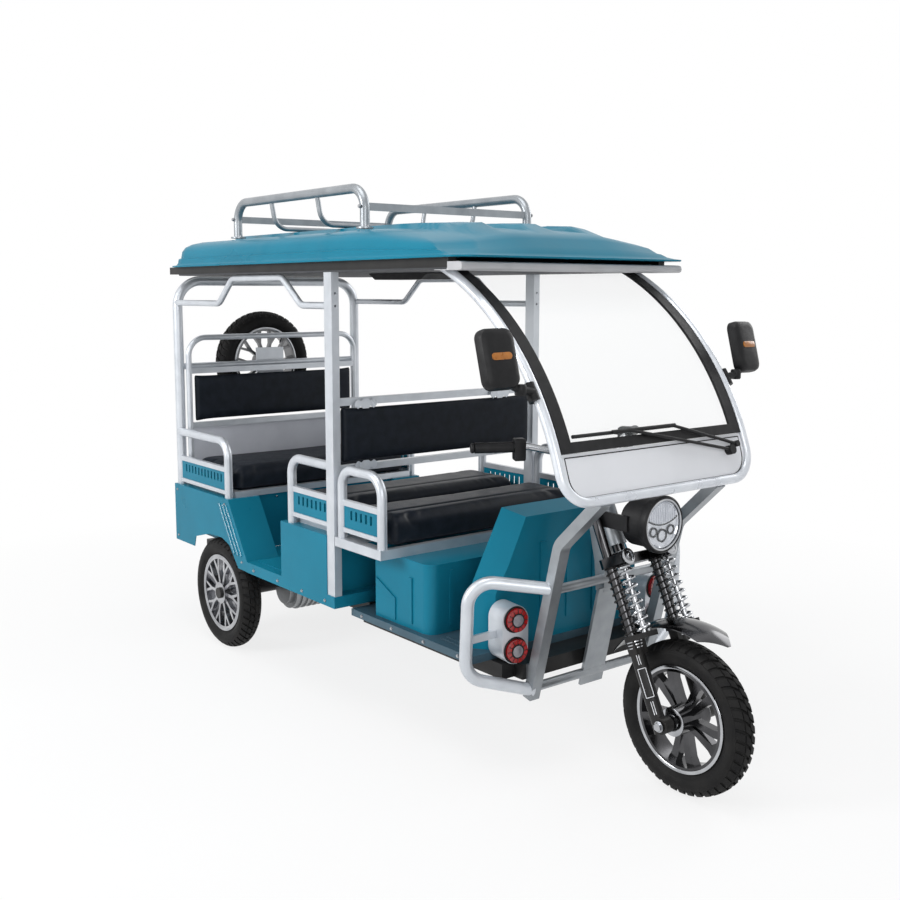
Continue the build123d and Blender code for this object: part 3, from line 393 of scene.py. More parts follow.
# Fork: real coil springs round their rods, in the leaning frame of the steering axis.
RAKE = math.radians(25.5)
STEER = place(1840, 0, 657)
FORK_AHEAD = Vector((math.cos(RAKE), 0, math.sin(RAKE)))
FORK_UP = Vector((-math.sin(RAKE), 0, math.cos(RAKE)))
LEG = {"x": 40, "y": 100}
SPRING = {"x": 92, "y": 97}
SPRING_FOOT = -222
DAMPER_R = 9
DAMPER_ROD_R = 5.58
COILS = [
    {"node": "front_springs", "at": SPRING, "top": -18, "turns": 9, "r": 20.6, "wire": 4.2, "damper": True,
     "finish": CHROME, "slot": "chrome"},
    {"node": "leg_springs", "at": LEG, "top": -10.3, "turns": 11, "r": 19.2, "wire": 2.7, "damper": False,
     "finish": BLACK, "slot": "frame_black"},
]


def on_fork(x, y, z):
    """Point ahead of, beside and along the steering axis."""
    return STEER + (FORK_AHEAD * x + Vector((0, y, 0)) + FORK_UP * z) / 1000


def add_coil(bm, x, y, row, steps=18):
    """Coil about an axis along the fork, with its last half turn laid flat at each end."""
    turns = row["turns"]
    wire = row["wire"]
    points = []
    for n in range(turns * steps + 1):
        share = n / (turns * steps)
        rise = min(max((share * turns - 0.5) / (turns - 1), 0), 1)
        angle = 2 * math.pi * n / steps
        z = SPRING_FOOT + wire + (row["top"] - SPRING_FOOT - 2 * wire) * rise
        points.append(on_fork(x + row["r"] * math.cos(angle), y + row["r"] * math.sin(angle), z))
    add_sweep(bm, points, wire, 8)


def add_damper(bm, x, y, top):
    """Damper body in the lower half of a spring, with its thinner rod above."""
    span = top - SPRING_FOOT
    profile = [(0, 0), (DAMPER_R, 0), (DAMPER_R, span * 0.55), (DAMPER_ROD_R, span * 0.56)]
    profile += [(DAMPER_ROD_R, span), (0, span)]
    add_revolve(bm, profile, on_fork(x, y, SPRING_FOOT), FORK_UP, 24)


for row in COILS:
    bm = bmesh.new()
    for side in LEFT_AND_RIGHT:
        x = row["at"]["x"]
        y = side * row["at"]["y"]
        add_coil(bm, x, y, row)
        if row["damper"]:
            add_damper(bm, x, y, row["top"])
    make_piece(row["node"] + "_coils", bm, row["finish"], "steering", [row["node"]])

# Upholstery: each pad starts from its CAD block and is blown up as cloth. Lengths here are in metres.
# cap is the most that a point may move, and channels are the places of sewn lines along the pad.
PADS = [
    {"node": "driver_cushion", "cap": 0.012, "pressure": 4.0, "channels": [0.66]},
    {"node": "mid_cushion", "cap": 0.012, "pressure": 4.0, "channels": [0.66]},
    {"node": "rear_cushion", "cap": 0.014, "pressure": 4.0, "channels": []},
    {"node": "driver_backrest", "cap": 0.005, "pressure": 2.5, "channels": []},
    {"node": "rear_backrest", "cap": 0.005, "pressure": 2.5, "channels": []},
]
SHRINK = 0.006
VOXEL = 0.008
CHANNEL_HALF_W = 0.006
CHANNEL_DEPTH = 0.006
SEAT_GAP = 0.0005
CLOTH_FRAMES = 20


def inflate(obj, rest, cap, pressure):
    """Blow a closed mesh up as cloth, then keep every point within cap of where it started."""
    cloth = obj.modifiers.new("pressure", "CLOTH")
    cloth.settings.use_pressure = True
    cloth.settings.uniform_pressure_force = pressure
    cloth.settings.effector_weights.gravity = 0
    cloth.settings.quality = 5
    cloth.point_cache.frame_start = 1
    cloth.point_cache.frame_end = CLOTH_FRAMES
    for frame_number in range(1, CLOTH_FRAMES + 1):
        scene.frame_set(frame_number)
    shaped = obj.evaluated_get(bpy.context.evaluated_depsgraph_get()).to_mesh()
    moved = [v.co.copy() for v in shaped.vertices]
    obj.modifiers.clear()
    scene.frame_set(1)
    for vertex, new in zip(obj.data.vertices, moved):
        step = new - rest[vertex.index]
        if step.length > cap:
            step *= cap / step.length
        vertex.co = rest[vertex.index] + step


def keep_modified(obj):
    """Put an object's mesh as its modifiers shape it in the place of its own."""
    shaped = obj.evaluated_get(bpy.context.evaluated_depsgraph_get())
    obj.data = bpy.data.meshes.new_from_object(shaped)
    obj.modifiers.clear()


def sew_channels(obj, low, high, channels):
    """Press sewn lines into the top of a pad, and keep its underside above its seat."""
    middle_z = (low.z + high.z) / 2
    for vertex in obj.data.vertices:
        co = vertex.co
        top = max(0.0, min(1.0, (co.z - middle_z) / (high.z - middle_z)))
        for share in channels:
            away = (co.x - low.x - (high.x - low.x) * share) / CHANNEL_HALF_W
            co.z -= CHANNEL_DEPTH * top * math.exp(-away * away)
        co.z = max(co.z, low.z + SEAT_GAP)


def make_pad(row):
    """Cushion or back pad: shrunk, remeshed, inflated, sewn along its channels and smoothed."""
    node = row["node"]
    low, high = (Vector(corner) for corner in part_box(node))
    centre = (low + high) / 2
    source = nodes[node]
    obj = bpy.data.objects.new(node + "_pad", source.data.copy())
    scene.collection.objects.link(obj)
    obj.matrix_world = source.matrix_world
    for vertex in obj.data.vertices:
        offset = vertex.co - centre
        inset = [o - math.copysign(min(SHRINK, abs(o) * 0.5), o) for o in offset]
        vertex.co = centre + Vector(inset)
    remesh = obj.modifiers.new("even", "REMESH")
    remesh.mode = "VOXEL"
    remesh.voxel_size = VOXEL
    keep_modified(obj)
    rest = [v.co.copy() for v in obj.data.vertices]
    inflate(obj, rest, row["cap"], row["pressure"])
    sew_channels(obj, low, high, row["channels"])
    smooth = obj.modifiers.new("smooth", "SUBSURF")
    smooth.levels = 1
    smooth.render_levels = 1
    keep_modified(obj)
    for face in obj.data.polygons:
        face.use_smooth = True
    dress(obj, VINYL, "chassis", [node])


for row in PADS:
    make_pad(row)

# Roof: the moulded skin over the CAD shell, with a thin lip, soft ridges and creases on its walls.
ROOF_X = (-345, 1650)
ROOF_HALF_W = 508
ROOF_RIM = 1604
ROOF_TOP = 1716
# Insets of the skin at rising heights: rear, front, side, cut corners at the front and the rear, height.
ROOF_STEPS = [
    (48, 48, 48, 60, 50, ROOF_RIM),
    (0, 0, 0, 44, 40, ROOF_RIM),
    (0, 0, 0, 44, 40, ROOF_RIM + 5),
    (11, 12, 11, 58, 46, ROOF_RIM + 8),
    (15, 24, 15, 74, 50, ROOF_RIM + 16),
    (16, 42, 16, 84, 54, ROOF_RIM + 33),
    (24, 52, 24, 86, 54, ROOF_RIM + 37),
    (28, 84, 28, 90, 54, ROOF_RIM + 64),
    (38, 128, 40, 90, 52, ROOF_RIM + 82),
    (60, 190, 62, 86, 50, ROOF_RIM + 95),
    (90, 270, 96, 76, 50, ROOF_RIM + 104),
    (140, 380, 150, 60, 50, ROOF_TOP - 3),
]
# Points on the sides and cut corners of each ring, from the rear right corner round.
ROOF_COUNTS = [5, 60, 8, 40, 8, 60, 5, 30]
TOP_RINGS = 22
RIDGE_X = (-195, 1450)
RIDGE_Y = (-235, 0, 235)
RIDGE_HALF_W = 66
RIDGE_RISE = 19
RIDGE_SLOPE_W = 26
RIDGE_FOOT_Z = ROOF_RIM + 60
RIDGE_BLEND_H = 25
CREASE_X = (430, 873)
CREASE_Z = (ROOF_RIM + 10, ROOF_RIM + 80)
CREASE_HALF_W = 18
CREASE_PUSH = 3
# Slope of the front corners: share of the height that it takes, and where it starts and how far it runs.
FALL_SHARE = 0.42
FALL_X = {"start": 1000, "run": 520}
FALL_Y = {"start": 150, "run": 330}
FALL_FOOT_Z = ROOF_RIM + 8


def soft_step(value):
    """Smooth rise from 0 to 1 while the value goes from 0 to 1."""
    value = min(max(value, 0), 1)
    return value * value * (3 - 2 * value)


def roof_ring(rear_in, front_in, side_in, front_cut, rear_cut, z):
    """Points round the roof at one step, as many on each side at every step."""
    x0 = ROOF_X[0] + rear_in
    x1 = ROOF_X[1] - front_in
    half = ROOF_HALF_W - side_in
    right = [(x0, -half + rear_cut), (x0 + rear_cut, -half)]
    right += [(x1 - front_cut, -half), (x1, -half + front_cut)]
    corners = right + [(x, -y) for x, y in reversed(right)]
    points = []
    for n, count in enumerate(ROOF_COUNTS):
        start = Vector(corners[n])
        end = Vector(corners[(n + 1) % len(corners)])
        for k in range(count):
            points.append((*start.lerp(end, k / count), z))
    return points


def ridge_rise(x, y, z):
    """Height that the three long ridges add."""
    rise = 0
    for ridge_y in RIDGE_Y:
        along = min(max(x, RIDGE_X[0] + RIDGE_HALF_W), RIDGE_X[1] - RIDGE_HALF_W)
        away = math.hypot(x - along, y - ridge_y)
        rise = max(rise, RIDGE_RISE * soft_step((RIDGE_HALF_W - away) / RIDGE_SLOPE_W))
    return rise * soft_step((z - RIDGE_FOOT_Z) / RIDGE_BLEND_H)


def corner_fall(x, y, z):
    """Height that the sloping front corners take away."""
    forward = soft_step((x - FALL_X["start"]) / FALL_X["run"])
    outward = soft_step((abs(y) - FALL_Y["start"]) / FALL_Y["run"])
    return FALL_SHARE * forward * outward * max(z - FALL_FOOT_Z, 0)


def crease_push(x, z):
    """Distance that the upright creases push the walls out."""
    if not CREASE_Z[0] < z < CREASE_Z[1]:
        return 0
    return max(CREASE_PUSH * soft_step(1 - abs(x - crease_x) / CREASE_HALF_W) for crease_x in CREASE_X)


def add_roof_skin(bm):
    """Rings up the walls, then rings that close the top towards its middle line."""
    rings = [roof_ring(*step) for step in ROOF_STEPS]
    last = ROOF_STEPS[-1]
    inner_half = ROOF_HALF_W - last[2]
    for n in range(1, TOP_RINGS):
        share = n / TOP_RINGS
        insets = [last[i] + share * (inner_half - 6) for i in range(3)]
        cuts = [cut * (1 - share) for cut in last[3:5]]
        rings.append(roof_ring(*insets, *cuts, last[5] + 3 * soft_step(share * 2)))
    made = []
    for ring in rings:
        line = []
        for x, y, z in ring:
            push = math.copysign(crease_push(x, z), y)
            rise = ridge_rise(x, y, z) - corner_fall(x, y, z)
            line.append(bm.verts.new(place(x, y + push, z + rise)))
        made.append(line)
    join_rings(bm, made)


bm = bmesh.new()
add_roof_skin(bm)
make_piece("roof_panel_skin", bm, TEAL, "chassis", ["roof_panel"], smooth_deg=50)

# Rear body: three rounded ribs down the slanted front of each side.
BODY_HALF_W = 490
RIB_TOP = (104, 628)
RIB_FOOT = (230, 439)
RIB_STEP = 30
RIB_R = 5.2
ribs = bmesh.new()
for side in LEFT_AND_RIGHT:
    for n in range(3):
        top, foot = (place(x - RIB_STEP * n, side * (BODY_HALF_W + 0.5), z) for x, z in (RIB_TOP, RIB_FOOT))
        add_sweep(ribs, [top.lerp(foot, k / 8) for k in range(9)], RIB_R, 12)
make_piece("body_ribs", ribs, TEAL_GLOSS, "chassis")

# Lining: a pale folded lip across its front end.
LIP_HALF_W = 489
LIP_PROFILE = [(1500, 1566), (1622, 1566), (1630, 1570), (1632, 1578), (1628, 1588), (1618, 1591),
               (1563, 1591), (1563, 1574), (1560, 1567.9), (1500, 1567.9)]
lip = bmesh.new()
lip_ends = []
for y in (-LIP_HALF_W, LIP_HALF_W):
    lip_ends.append([lip.verts.new(place(x, y, z)) for x, z in LIP_PROFILE])
join_rings(lip, lip_ends)
make_piece("lining_front_lip", lip, LINING, "chassis")

# Mirrors: tilted heads on stout arms, clamped to the windscreen tube, with glass behind and amber marks.
SCREEN = {"x": 1085, "z": 718, "r": 934}
MIRROR = {"x": 1860, "y": 545, "z": 1319, "tilt_deg": 15, "toe_deg": 5, "clamp_deg": 32.5}
# Layers of a head, its glass and its mark: half width, half height, corner radius, depth.
HEAD_LAYERS = [(54, 82, 24, -19), (58, 86, 28, -16), (58, 86, 28, 2), (54, 82, 27, 13), (46, 74, 24, 18),
               (36, 64, 20, 20)]
GLASS_LAYERS = [(50, 78, 20, -19.2), (50, 78, 20, -20.4), (49, 77, 20, -20.8)]
MARK_LAYERS = [(34, 10, 9.5, 19), (34, 10, 9.5, 21.4), (31, 8, 7.5, 22.4)]
MARK_RISE = 4
KNUCKLE = [(0, -16), (14, -16), (17, -12), (17, 12), (14, 16), (0, 16)]
ARM = {"r": 12, "foot_y": 428, "foot_out": 6}
CLAMP = {"r": 18, "y": 430.5, "half_deg": 1.7}
# Steps on the left side: from a head's middle to the knuckle and to the head's foot, and up the neck.
KNUCKLE_STEP = (20, -66, -88)
HEAD_FOOT_STEP = (4, -22, -66)
NECK_STEP = (0, 22, 12)


def on_screen(angle, y, out=0):
    """Point on the windscreen arc by its angle in degrees, or outside it."""
    r = SCREEN["r"] + out
    turn = math.radians(angle)
    return place(SCREEN["x"] + r * math.cos(turn), y, SCREEN["z"] + r * math.sin(turn))


def rounded_outline(half_w, half_h, radius, steps=6):
    """Rounded rectangle as flat points about the origin."""
    points = []
    for sx, sy, first in ((1, 1, 0), (-1, 1, 90), (-1, -1, 180), (1, -1, 270)):
        for k in range(steps + 1):
            angle = math.radians(first + 90 * k / steps)
            points.append((sx * (half_w - radius) + radius * math.cos(angle),
                           sy * (half_h - radius) + radius * math.sin(angle)))
    return points


def add_tray(bm, centre, turn, layers):
    """Rounded box from layers of (half width, half height, corner radius, depth) along the local X axis."""
    rings = []
    for half_w, half_h, radius, depth in layers:
        ring = []
        for a, b in rounded_outline(half_w, half_h, radius):
            ring.append(bm.verts.new(centre + turn @ (Vector((depth, a, b)) / 1000)))
        rings.append(ring)
    join_rings(bm, rings)


def sided(step, side):
    """Step given for the left side, or its mirror image for the right, in metres."""
    x, y, z = step
    return Vector((x, side * y, z)) / 1000


def add_mirror_arm(bm, side, centre, turn):
    """Arm from its clamp on the tube over a knuckle to the foot of the head."""
    foot = on_screen(MIRROR["clamp_deg"], side * ARM["foot_y"], ARM["foot_out"])
    knuckle = centre + sided(KNUCKLE_STEP, side)
    neck = knuckle + turn @ sided(NECK_STEP, side)
    head_foot = centre + turn @ sided(HEAD_FOOT_STEP, side)
    add_sweep(bm, [foot, foot.lerp(knuckle, 0.6), knuckle, neck, head_foot], ARM["r"], 14)
    clamp = []
    for step in (-CLAMP["half_deg"], 0, CLAMP["half_deg"]):
        clamp.append(on_screen(MIRROR["clamp_deg"] + step, side * CLAMP["y"]))
    add_sweep(bm, clamp, CLAMP["r"], 16)
    add_revolve(bm, KNUCKLE, knuckle, UP, 18)


heads = bmesh.new()
glasses = bmesh.new()
marks = bmesh.new()
for side in LEFT_AND_RIGHT:
    tilt = Matrix.Rotation(math.radians(-MIRROR["tilt_deg"]), 3, "Y")
    turn = tilt @ Matrix.Rotation(math.radians(MIRROR["toe_deg"] * side), 3, "Z")
    centre = place(MIRROR["x"], side * MIRROR["y"], MIRROR["z"])
    add_tray(heads, centre, turn, HEAD_LAYERS)
    add_tray(glasses, centre, turn, GLASS_LAYERS)
    add_tray(marks, centre + turn @ (UP * MARK_RISE / 1000), turn, MARK_LAYERS)
    add_mirror_arm(heads, side, centre, turn)
make_piece("mirror_heads", heads, PLASTIC, "chassis", ["mirrors"])
make_piece("mirror_glasses", glasses, CHROME, "chassis")
make_piece("mirror_marks", marks, AMBER, "chassis")

# White panel: a fine bead line that follows the tube round its lower corners.
PANEL = {"low_deg": 12.9, "high_deg": 20.1, "half_w": 388, "corner": 62, "proud": 2.2, "bead_r": 1.7}
low_arc = math.radians(PANEL["low_deg"]) * SCREEN["r"]
high_arc = math.radians(PANEL["high_deg"]) * SCREEN["r"]
line = []
for side in (-1, 1):
    run = [(side * PANEL["half_w"], high_arc)]
    for k in range(9):
        angle = math.radians(90 * k / 8)
        y = side * (PANEL["half_w"] - PANEL["corner"] * (1 - math.cos(angle)))
        run.append((y, low_arc + PANEL["corner"] * (1 - math.sin(angle))))
    line += run if side < 0 else run[::-1]
line.append(line[0])
bead = bmesh.new()
bead_path = [on_screen(math.degrees(height / SCREEN["r"]), y, PANEL["proud"]) for y, height in line]
add_sweep(bead, bead_path, PANEL["bead_r"], 6)
make_piece("panel_bead", bead, PLASTIC, "chassis")

# Headlight: a fluted upper lens over three projectors, behind a domed glass and inside a double bezel.
LAMP = place(1988, 0, 806)
# Flutes: upright rods with gaps to the round field's edge above and to the arch below.
FLUTE = {"x": 3.5, "step": 8, "r": 3.7, "field_r": 68, "top_gap": 3, "foot_gap": 2, "least": 6}
FLUTES_A_SIDE = 8
# The arch rises by curve times the square of the distance from the middle.
ARCH = {"x": 4, "z": -1, "half_w": 66, "step": 6, "r": 2.6, "curve": 0.0045}
# Projectors: place across, height and radius.
PROJECTORS = [(0, -34, 21), (-39, -20, 16), (39, -20, 16)]
REFLECTOR = [(0, 0.4), (74, 0.4), (74, 6), (71, 7), (67, 3), (0, 1.6)]
DOME = [(73.5, 8), (70, 9.4), (55, 11), (30, 12.2), (0, 12.6)]
BEZEL = [(74, 9), (74, 12.4), (77, 13.8), (79.4, 12.6), (79.4, 9)]
SURROUND = [(79.4, 5), (79.4, 13), (83, 14), (88, 9), (89, 0), (87, -14), (82.6, -16), (82.6, 2)]


def on_lamp(x, y, z):
    """Point from the middle of the headlight's lens."""
    return LAMP + Vector((x, y, z)) / 1000


flutes = bmesh.new()
add_revolve(flutes, REFLECTOR, LAMP, FORWARD, 64)
for column in range(-FLUTES_A_SIDE, FLUTES_A_SIDE + 1):
    y = column * FLUTE["step"]
    top = math.sqrt(FLUTE["field_r"] ** 2 - y ** 2) - FLUTE["top_gap"]
    foot = FLUTE["foot_gap"] + ARCH["curve"] * y * y
    if top - foot > FLUTE["least"]:
        add_sweep(flutes, [on_lamp(FLUTE["x"], y, z) for z in (foot, top)], FLUTE["r"], 8)
make_piece("headlight_reflector", flutes, CLEAR, "steering", ["headlight_lens"])
units = bmesh.new()
pearls = bmesh.new()
for y, z, r in PROJECTORS:
    at = on_lamp(0, y, z)
    ring = [(r, 1), (r, 6.5), (r - 2, 7.5), (r - 4, 4), (r - 5, 2.4), (0, 2)]
    add_revolve(units, ring, at, FORWARD, 32)
    pearl = [(r - 5, 2), (r - 6, 5), ((r - 6) * 0.6, 7), (0, 7.8)]
    add_revolve(pearls, pearl, at, FORWARD, 24)
arch = []
for y in range(-ARCH["half_w"], ARCH["half_w"] + 1, ARCH["step"]):
    arch.append(on_lamp(ARCH["x"], y, ARCH["z"] + ARCH["curve"] * y * y))
add_sweep(units, arch, ARCH["r"], 8)
make_piece("headlight_units", units, DARK_CHROME, "steering")
make_piece("headlight_pearls", pearls, CLEAR, "steering")
dome = bmesh.new()
add_revolve(dome, DOME, LAMP, FORWARD, 48)
make_piece("headlight_glass", dome, GLASS, "steering")
bezel = bmesh.new()
add_revolve(bezel, BEZEL, LAMP, FORWARD, 64, closed=True)
make_piece("headlight_bezel", bezel, CHROME, "steering")
surround = bmesh.new()
add_revolve(surround, SURROUND, LAMP, FORWARD, 64, closed=True)
make_piece("headlight_surround", surround, PLASTIC, "steering")

# Lamps: a grey centre, thin bars over the red ring and a dark gasket round each lens.
POD_TURN = math.radians(8)
POD_LAMP = {"x": 1704.8, "y": 320.1, "z": (497, 399), "r": 36.7, "foot": -15}
TAIL_LAMP = {"x": -413, "y": 425, "z": (560,), "r": 35.7, "foot": -4}
LAMP_BARS = 12
LAMP_BAR_R = 1.4


def add_lamp(centres, gaskets, at, axis, r, foot):
    """Trim of one round lens; foot is where its housing ends, along the axis."""
    centre = [(r * 0.5, 0), (r * 0.5, 2), (r * 0.44, 3.2), (r * 0.25, 4), (0, 4.4)]
    add_revolve(centres, centre, at, axis, 28)
    gasket = [(r + 0.4, foot), (r + 0.4, foot + 3), (r + 3, foot + 4), (r + 5.5, foot + 2.4), (r + 6, foot)]
    add_revolve(gaskets, gasket, at, axis, 36)
    across = axis.cross(UP).normalized()
    for n in range(LAMP_BARS):
        angle = 2 * math.pi * n / LAMP_BARS
        out = across * math.cos(angle) + UP * math.sin(angle)
        add_sweep(gaskets, [at + out * (r * share / 1000) for share in (0.55, 0.97)], LAMP_BAR_R, 5)
    collar = [(r * 0.5, 0), (r * 0.5, 1.8), (r * 0.62, 1.8), (r * 0.62, 0)]
    add_revolve(gaskets, collar, at, axis, 28)


centres = bmesh.new()
gaskets = bmesh.new()
for side in LEFT_AND_RIGHT:
    pod_axis = Vector((math.cos(POD_TURN), side * math.sin(POD_TURN), 0))
    for lamp, axis in ((POD_LAMP, pod_axis), (TAIL_LAMP, -FORWARD)):
        for z in lamp["z"]:
            at = place(lamp["x"], side * lamp["y"], z)
            add_lamp(centres, gaskets, at, axis, lamp["r"], lamp["foot"])
make_piece("lamp_centres", centres, LENS_GREY, "chassis")
make_piece("lamp_gaskets", gaskets, PLASTIC, "chassis")

# Fork trim: white lines on the sliders as painted highlights, caps on the spring eyes, axle bolts and fins
# under the perches.
SLIDER_R = 22.4
HIGHLIGHT_LINE_R = 1.1
# Corners of the painted highlight frame on a slider: angle round the leg in degrees, height along the fork.
HIGHLIGHT_FRAME = [(18, -322), (82, -322), (82, -408), (18, -408)]
HIGHLIGHT_TAIL_DEG = (42, 58)
HIGHLIGHT_TAIL_Z = [(-268, -310), (-420, -460)]
EYE = {"x": 122, "z": 6}
EYE_CAP = [(23, -4), (24.5, -2), (24.5, 1.5), (22, 3), (17, 3), (16, 0.4), (0, 0.4)]
EYE_NUT = [(0, 0), (8, 0), (8, 4.5), (6.5, 6), (0, 6)]
AXLE_END = {"x": 56.6, "y": 122, "z": -494.6, "thread": 16}
FIN = {"top": -241, "step": 9, "half_h": 1.6, "inner_r": 16.4, "outer_r": 27, "taper": 1.5}
FINS = 3


def on_leg(side, angle, z):
    """Point on a slider by its angle round the leg in degrees and its height along the fork."""
    turn = math.radians(angle)
    x = LEG["x"] + SLIDER_R * math.cos(turn)
    return on_fork(x, side * (LEG["y"] + SLIDER_R * math.sin(turn)), z)


def add_slider_highlights(bm, side):
    """White lines on a slider as painted highlights: a frame, with two tails above it and two below."""
    for n, (angle, z) in enumerate(HIGHLIGHT_FRAME):
        next_angle, next_z = HIGHLIGHT_FRAME[(n + 1) % len(HIGHLIGHT_FRAME)]
        path = []
        for k in range(7):
            path.append(on_leg(side, angle + (next_angle - angle) * k / 6, z + (next_z - z) * k / 6))
        add_sweep(bm, path, HIGHLIGHT_LINE_R, 6)
    for angle in HIGHLIGHT_TAIL_DEG:
        for z0, z1 in HIGHLIGHT_TAIL_Z:
            add_sweep(bm, [on_leg(side, angle, z0), on_leg(side, angle, z1)], HIGHLIGHT_LINE_R, 6)


highlight_lines = bmesh.new()
eyes = bmesh.new()
fins = bmesh.new()
for side in LEFT_AND_RIGHT:
    add_slider_highlights(highlight_lines, side)
    axle_end = on_fork(AXLE_END["x"], side * AXLE_END["y"], AXLE_END["z"])
    add_bolt(eyes, axle_end, (0, side, 0), AXLE_END["thread"])
    eye = on_fork(EYE["x"], side * SPRING["y"], EYE["z"])
    add_revolve(eyes, EYE_CAP, eye, FORK_AHEAD, 32)
    add_revolve(eyes, EYE_NUT, eye, FORK_AHEAD, 6)
    for level in range(FINS):
        low = FIN["top"] - FIN["step"] * level - FIN["half_h"]
        high = low + 2 * FIN["half_h"]
        outer = FIN["outer_r"] - FIN["taper"] * level
        profile = [(FIN["inner_r"], low), (outer, low), (outer, high), (FIN["inner_r"], high)]
        add_revolve(fins, profile, on_fork(LEG["x"], side * LEG["y"], 0), FORK_UP, 32, closed=True)
# The white lines on the sliders are painted highlights.
make_piece("slider_painted_highlights", highlight_lines, WHITE, "steering")
make_piece("spring_eye_caps", eyes, CHROME, "steering")
make_piece("perch_fins", fins, CHROME, "steering")

# Rims: polished lips and valve stems, and hub caps on the front wheel.
RIM_LIP = [(153, 34.4), (155, 35.6), (159, 36), (162.6, 35.2), (163.2, 34.4)]
HUB_CAP = [(43, 62.2), (43, 64), (39, 65.5), (24, 65.5), (21, 63.6), (12, 63.6)]
VALVE_ANGLE = 0.9
VALVE_R = 3.5
VALVE_PATH = [(142, 34), (127.8, 36), (113.6, 42)]
for wheel, body in WHEEL_BODY.items():
    hub, axis, ahead = wheel_place(wheel + "_tyre")
    trim = bmesh.new()
    for side in LEFT_AND_RIGHT:
        if wheel == "front":
            add_revolve(trim, [(r, d * side) for r, d in HUB_CAP], hub, axis, 40)
        add_revolve(trim, [(r, d * side) for r, d in RIM_LIP], hub, axis, 96, closed=True)
    stem = [wheel_point(hub, axis, ahead, r, VALVE_ANGLE, y) for r, y in VALVE_PATH]
    add_sweep(trim, stem, VALVE_R, 8)
    make_piece(wheel + "_rim_trim", trim, CHROME, body)

# Fasteners on the rack, the floor edges, the rear body, the back panel and the front of the seat base.
SMALL_THREAD = 5
MIDDLE_THREAD = 6
LARGE_THREAD = 7
RACK_FEET_X = (45, 965)
RACK_FOOT = {"y": 375, "z": 1722, "half_pair": 21}
RACK_LEG = {"y": 396, "z": 1791}
DRIVER_FLOOR_BOLTS = {"x": (1000, 1180, 1360, 1540), "y": 425, "z": 362}
SILL_BOLTS = {"x": (330, 520, 700, 860), "z": 400}
REAR_BODY_BOLTS = [(-360, 425), (-360, 632), (90, 632), (230, 415)]
BACK_PANEL_BOLTS = {"x": -389, "y": (-330, 0, 330), "z": 630, "half_pair": 12}
SEAT_BASE_BOLTS = {"x": 98, "y": (40, 250, 420), "z": 640}
bolts = bmesh.new()
for side in LEFT_AND_RIGHT:
    outward = Vector((0, side, 0))
    for x in RACK_FEET_X:
        for step in (-RACK_FOOT["half_pair"], RACK_FOOT["half_pair"]):
            add_bolt(bolts, place(x + step, side * RACK_FOOT["y"], RACK_FOOT["z"]), UP, MIDDLE_THREAD)
        add_bolt(bolts, place(x, side * RACK_LEG["y"], RACK_LEG["z"]), outward, LARGE_THREAD)
    for x in DRIVER_FLOOR_BOLTS["x"]:
        at = place(x, side * DRIVER_FLOOR_BOLTS["y"], DRIVER_FLOOR_BOLTS["z"])
        add_bolt(bolts, at, outward, MIDDLE_THREAD)
    for x in SILL_BOLTS["x"]:
        add_bolt(bolts, place(x, side * BODY_HALF_W, SILL_BOLTS["z"]), outward, MIDDLE_THREAD)
    for x, z in REAR_BODY_BOLTS:
        add_bolt(bolts, place(x, side * BODY_HALF_W, z), outward, SMALL_THREAD)
    for y in BACK_PANEL_BOLTS["y"]:
        pair_y = y + BACK_PANEL_BOLTS["half_pair"] * side
        at = place(BACK_PANEL_BOLTS["x"], pair_y, BACK_PANEL_BOLTS["z"])
        add_bolt(bolts, at, -FORWARD, SMALL_THREAD)
    for y in SEAT_BASE_BOLTS["y"]:
        at = place(SEAT_BASE_BOLTS["x"], side * y, SEAT_BASE_BOLTS["z"])
        add_bolt(bolts, at, FORWARD, SMALL_THREAD)
make_piece("frame_bolts", bolts, CHROME, "chassis")

# Handlebar: switch boxes inboard of the grips, levers behind the grips and weights at the ends.
GRIP_END = Vector((1548, 362, 1020))
GRIP_ROOT = Vector((1632, 217, 1022))
GRIP_INWARD = (GRIP_ROOT - GRIP_END).normalized()
GRIP_BEHIND = GRIP_INWARD.cross(UP).normalized()
SWITCH_LAYERS = [(24, 33, 9, -17), (26, 35, 11, -14), (26, 35, 11, 14), (24, 33, 9, 17)]
# Path of a lever: distance from the grip's outer end, distance behind its middle line, height.
LEVER_PATH = [(140, 22, 2), (128, 44, 2), (100, 52, 0), (50, 50, -3), (12, 46, -6)]
LEVER_R = 5.2
END_WEIGHT = [(0, 0), (13, 0), (16, 3), (16, 9), (13, 12), (0, 12)]


def on_grip(side, along, behind, up):
    """Point by its distance from a grip's outer end, behind its middle line and above it."""
    spot = GRIP_END + GRIP_INWARD * along + GRIP_BEHIND * behind + UP * up
    return place(spot.x, side * spot.y, spot.z)


controls = bmesh.new()
for side in LEFT_AND_RIGHT:
    along = Vector((GRIP_INWARD.x, side * GRIP_INWARD.y, GRIP_INWARD.z))
    turn = Matrix((along, UP.cross(along), UP)).transposed()
    add_tray(controls, on_grip(side, 137, 0, -8), turn, SWITCH_LAYERS)
    add_sweep(controls, [on_grip(side, *spot) for spot in LEVER_PATH], LEVER_R, 10, squash=0.7)
    add_revolve(controls, END_WEIGHT, on_grip(side, -5, 0, 0), -along, 20)
make_piece("handlebar_controls", controls, PLASTIC, "steering")

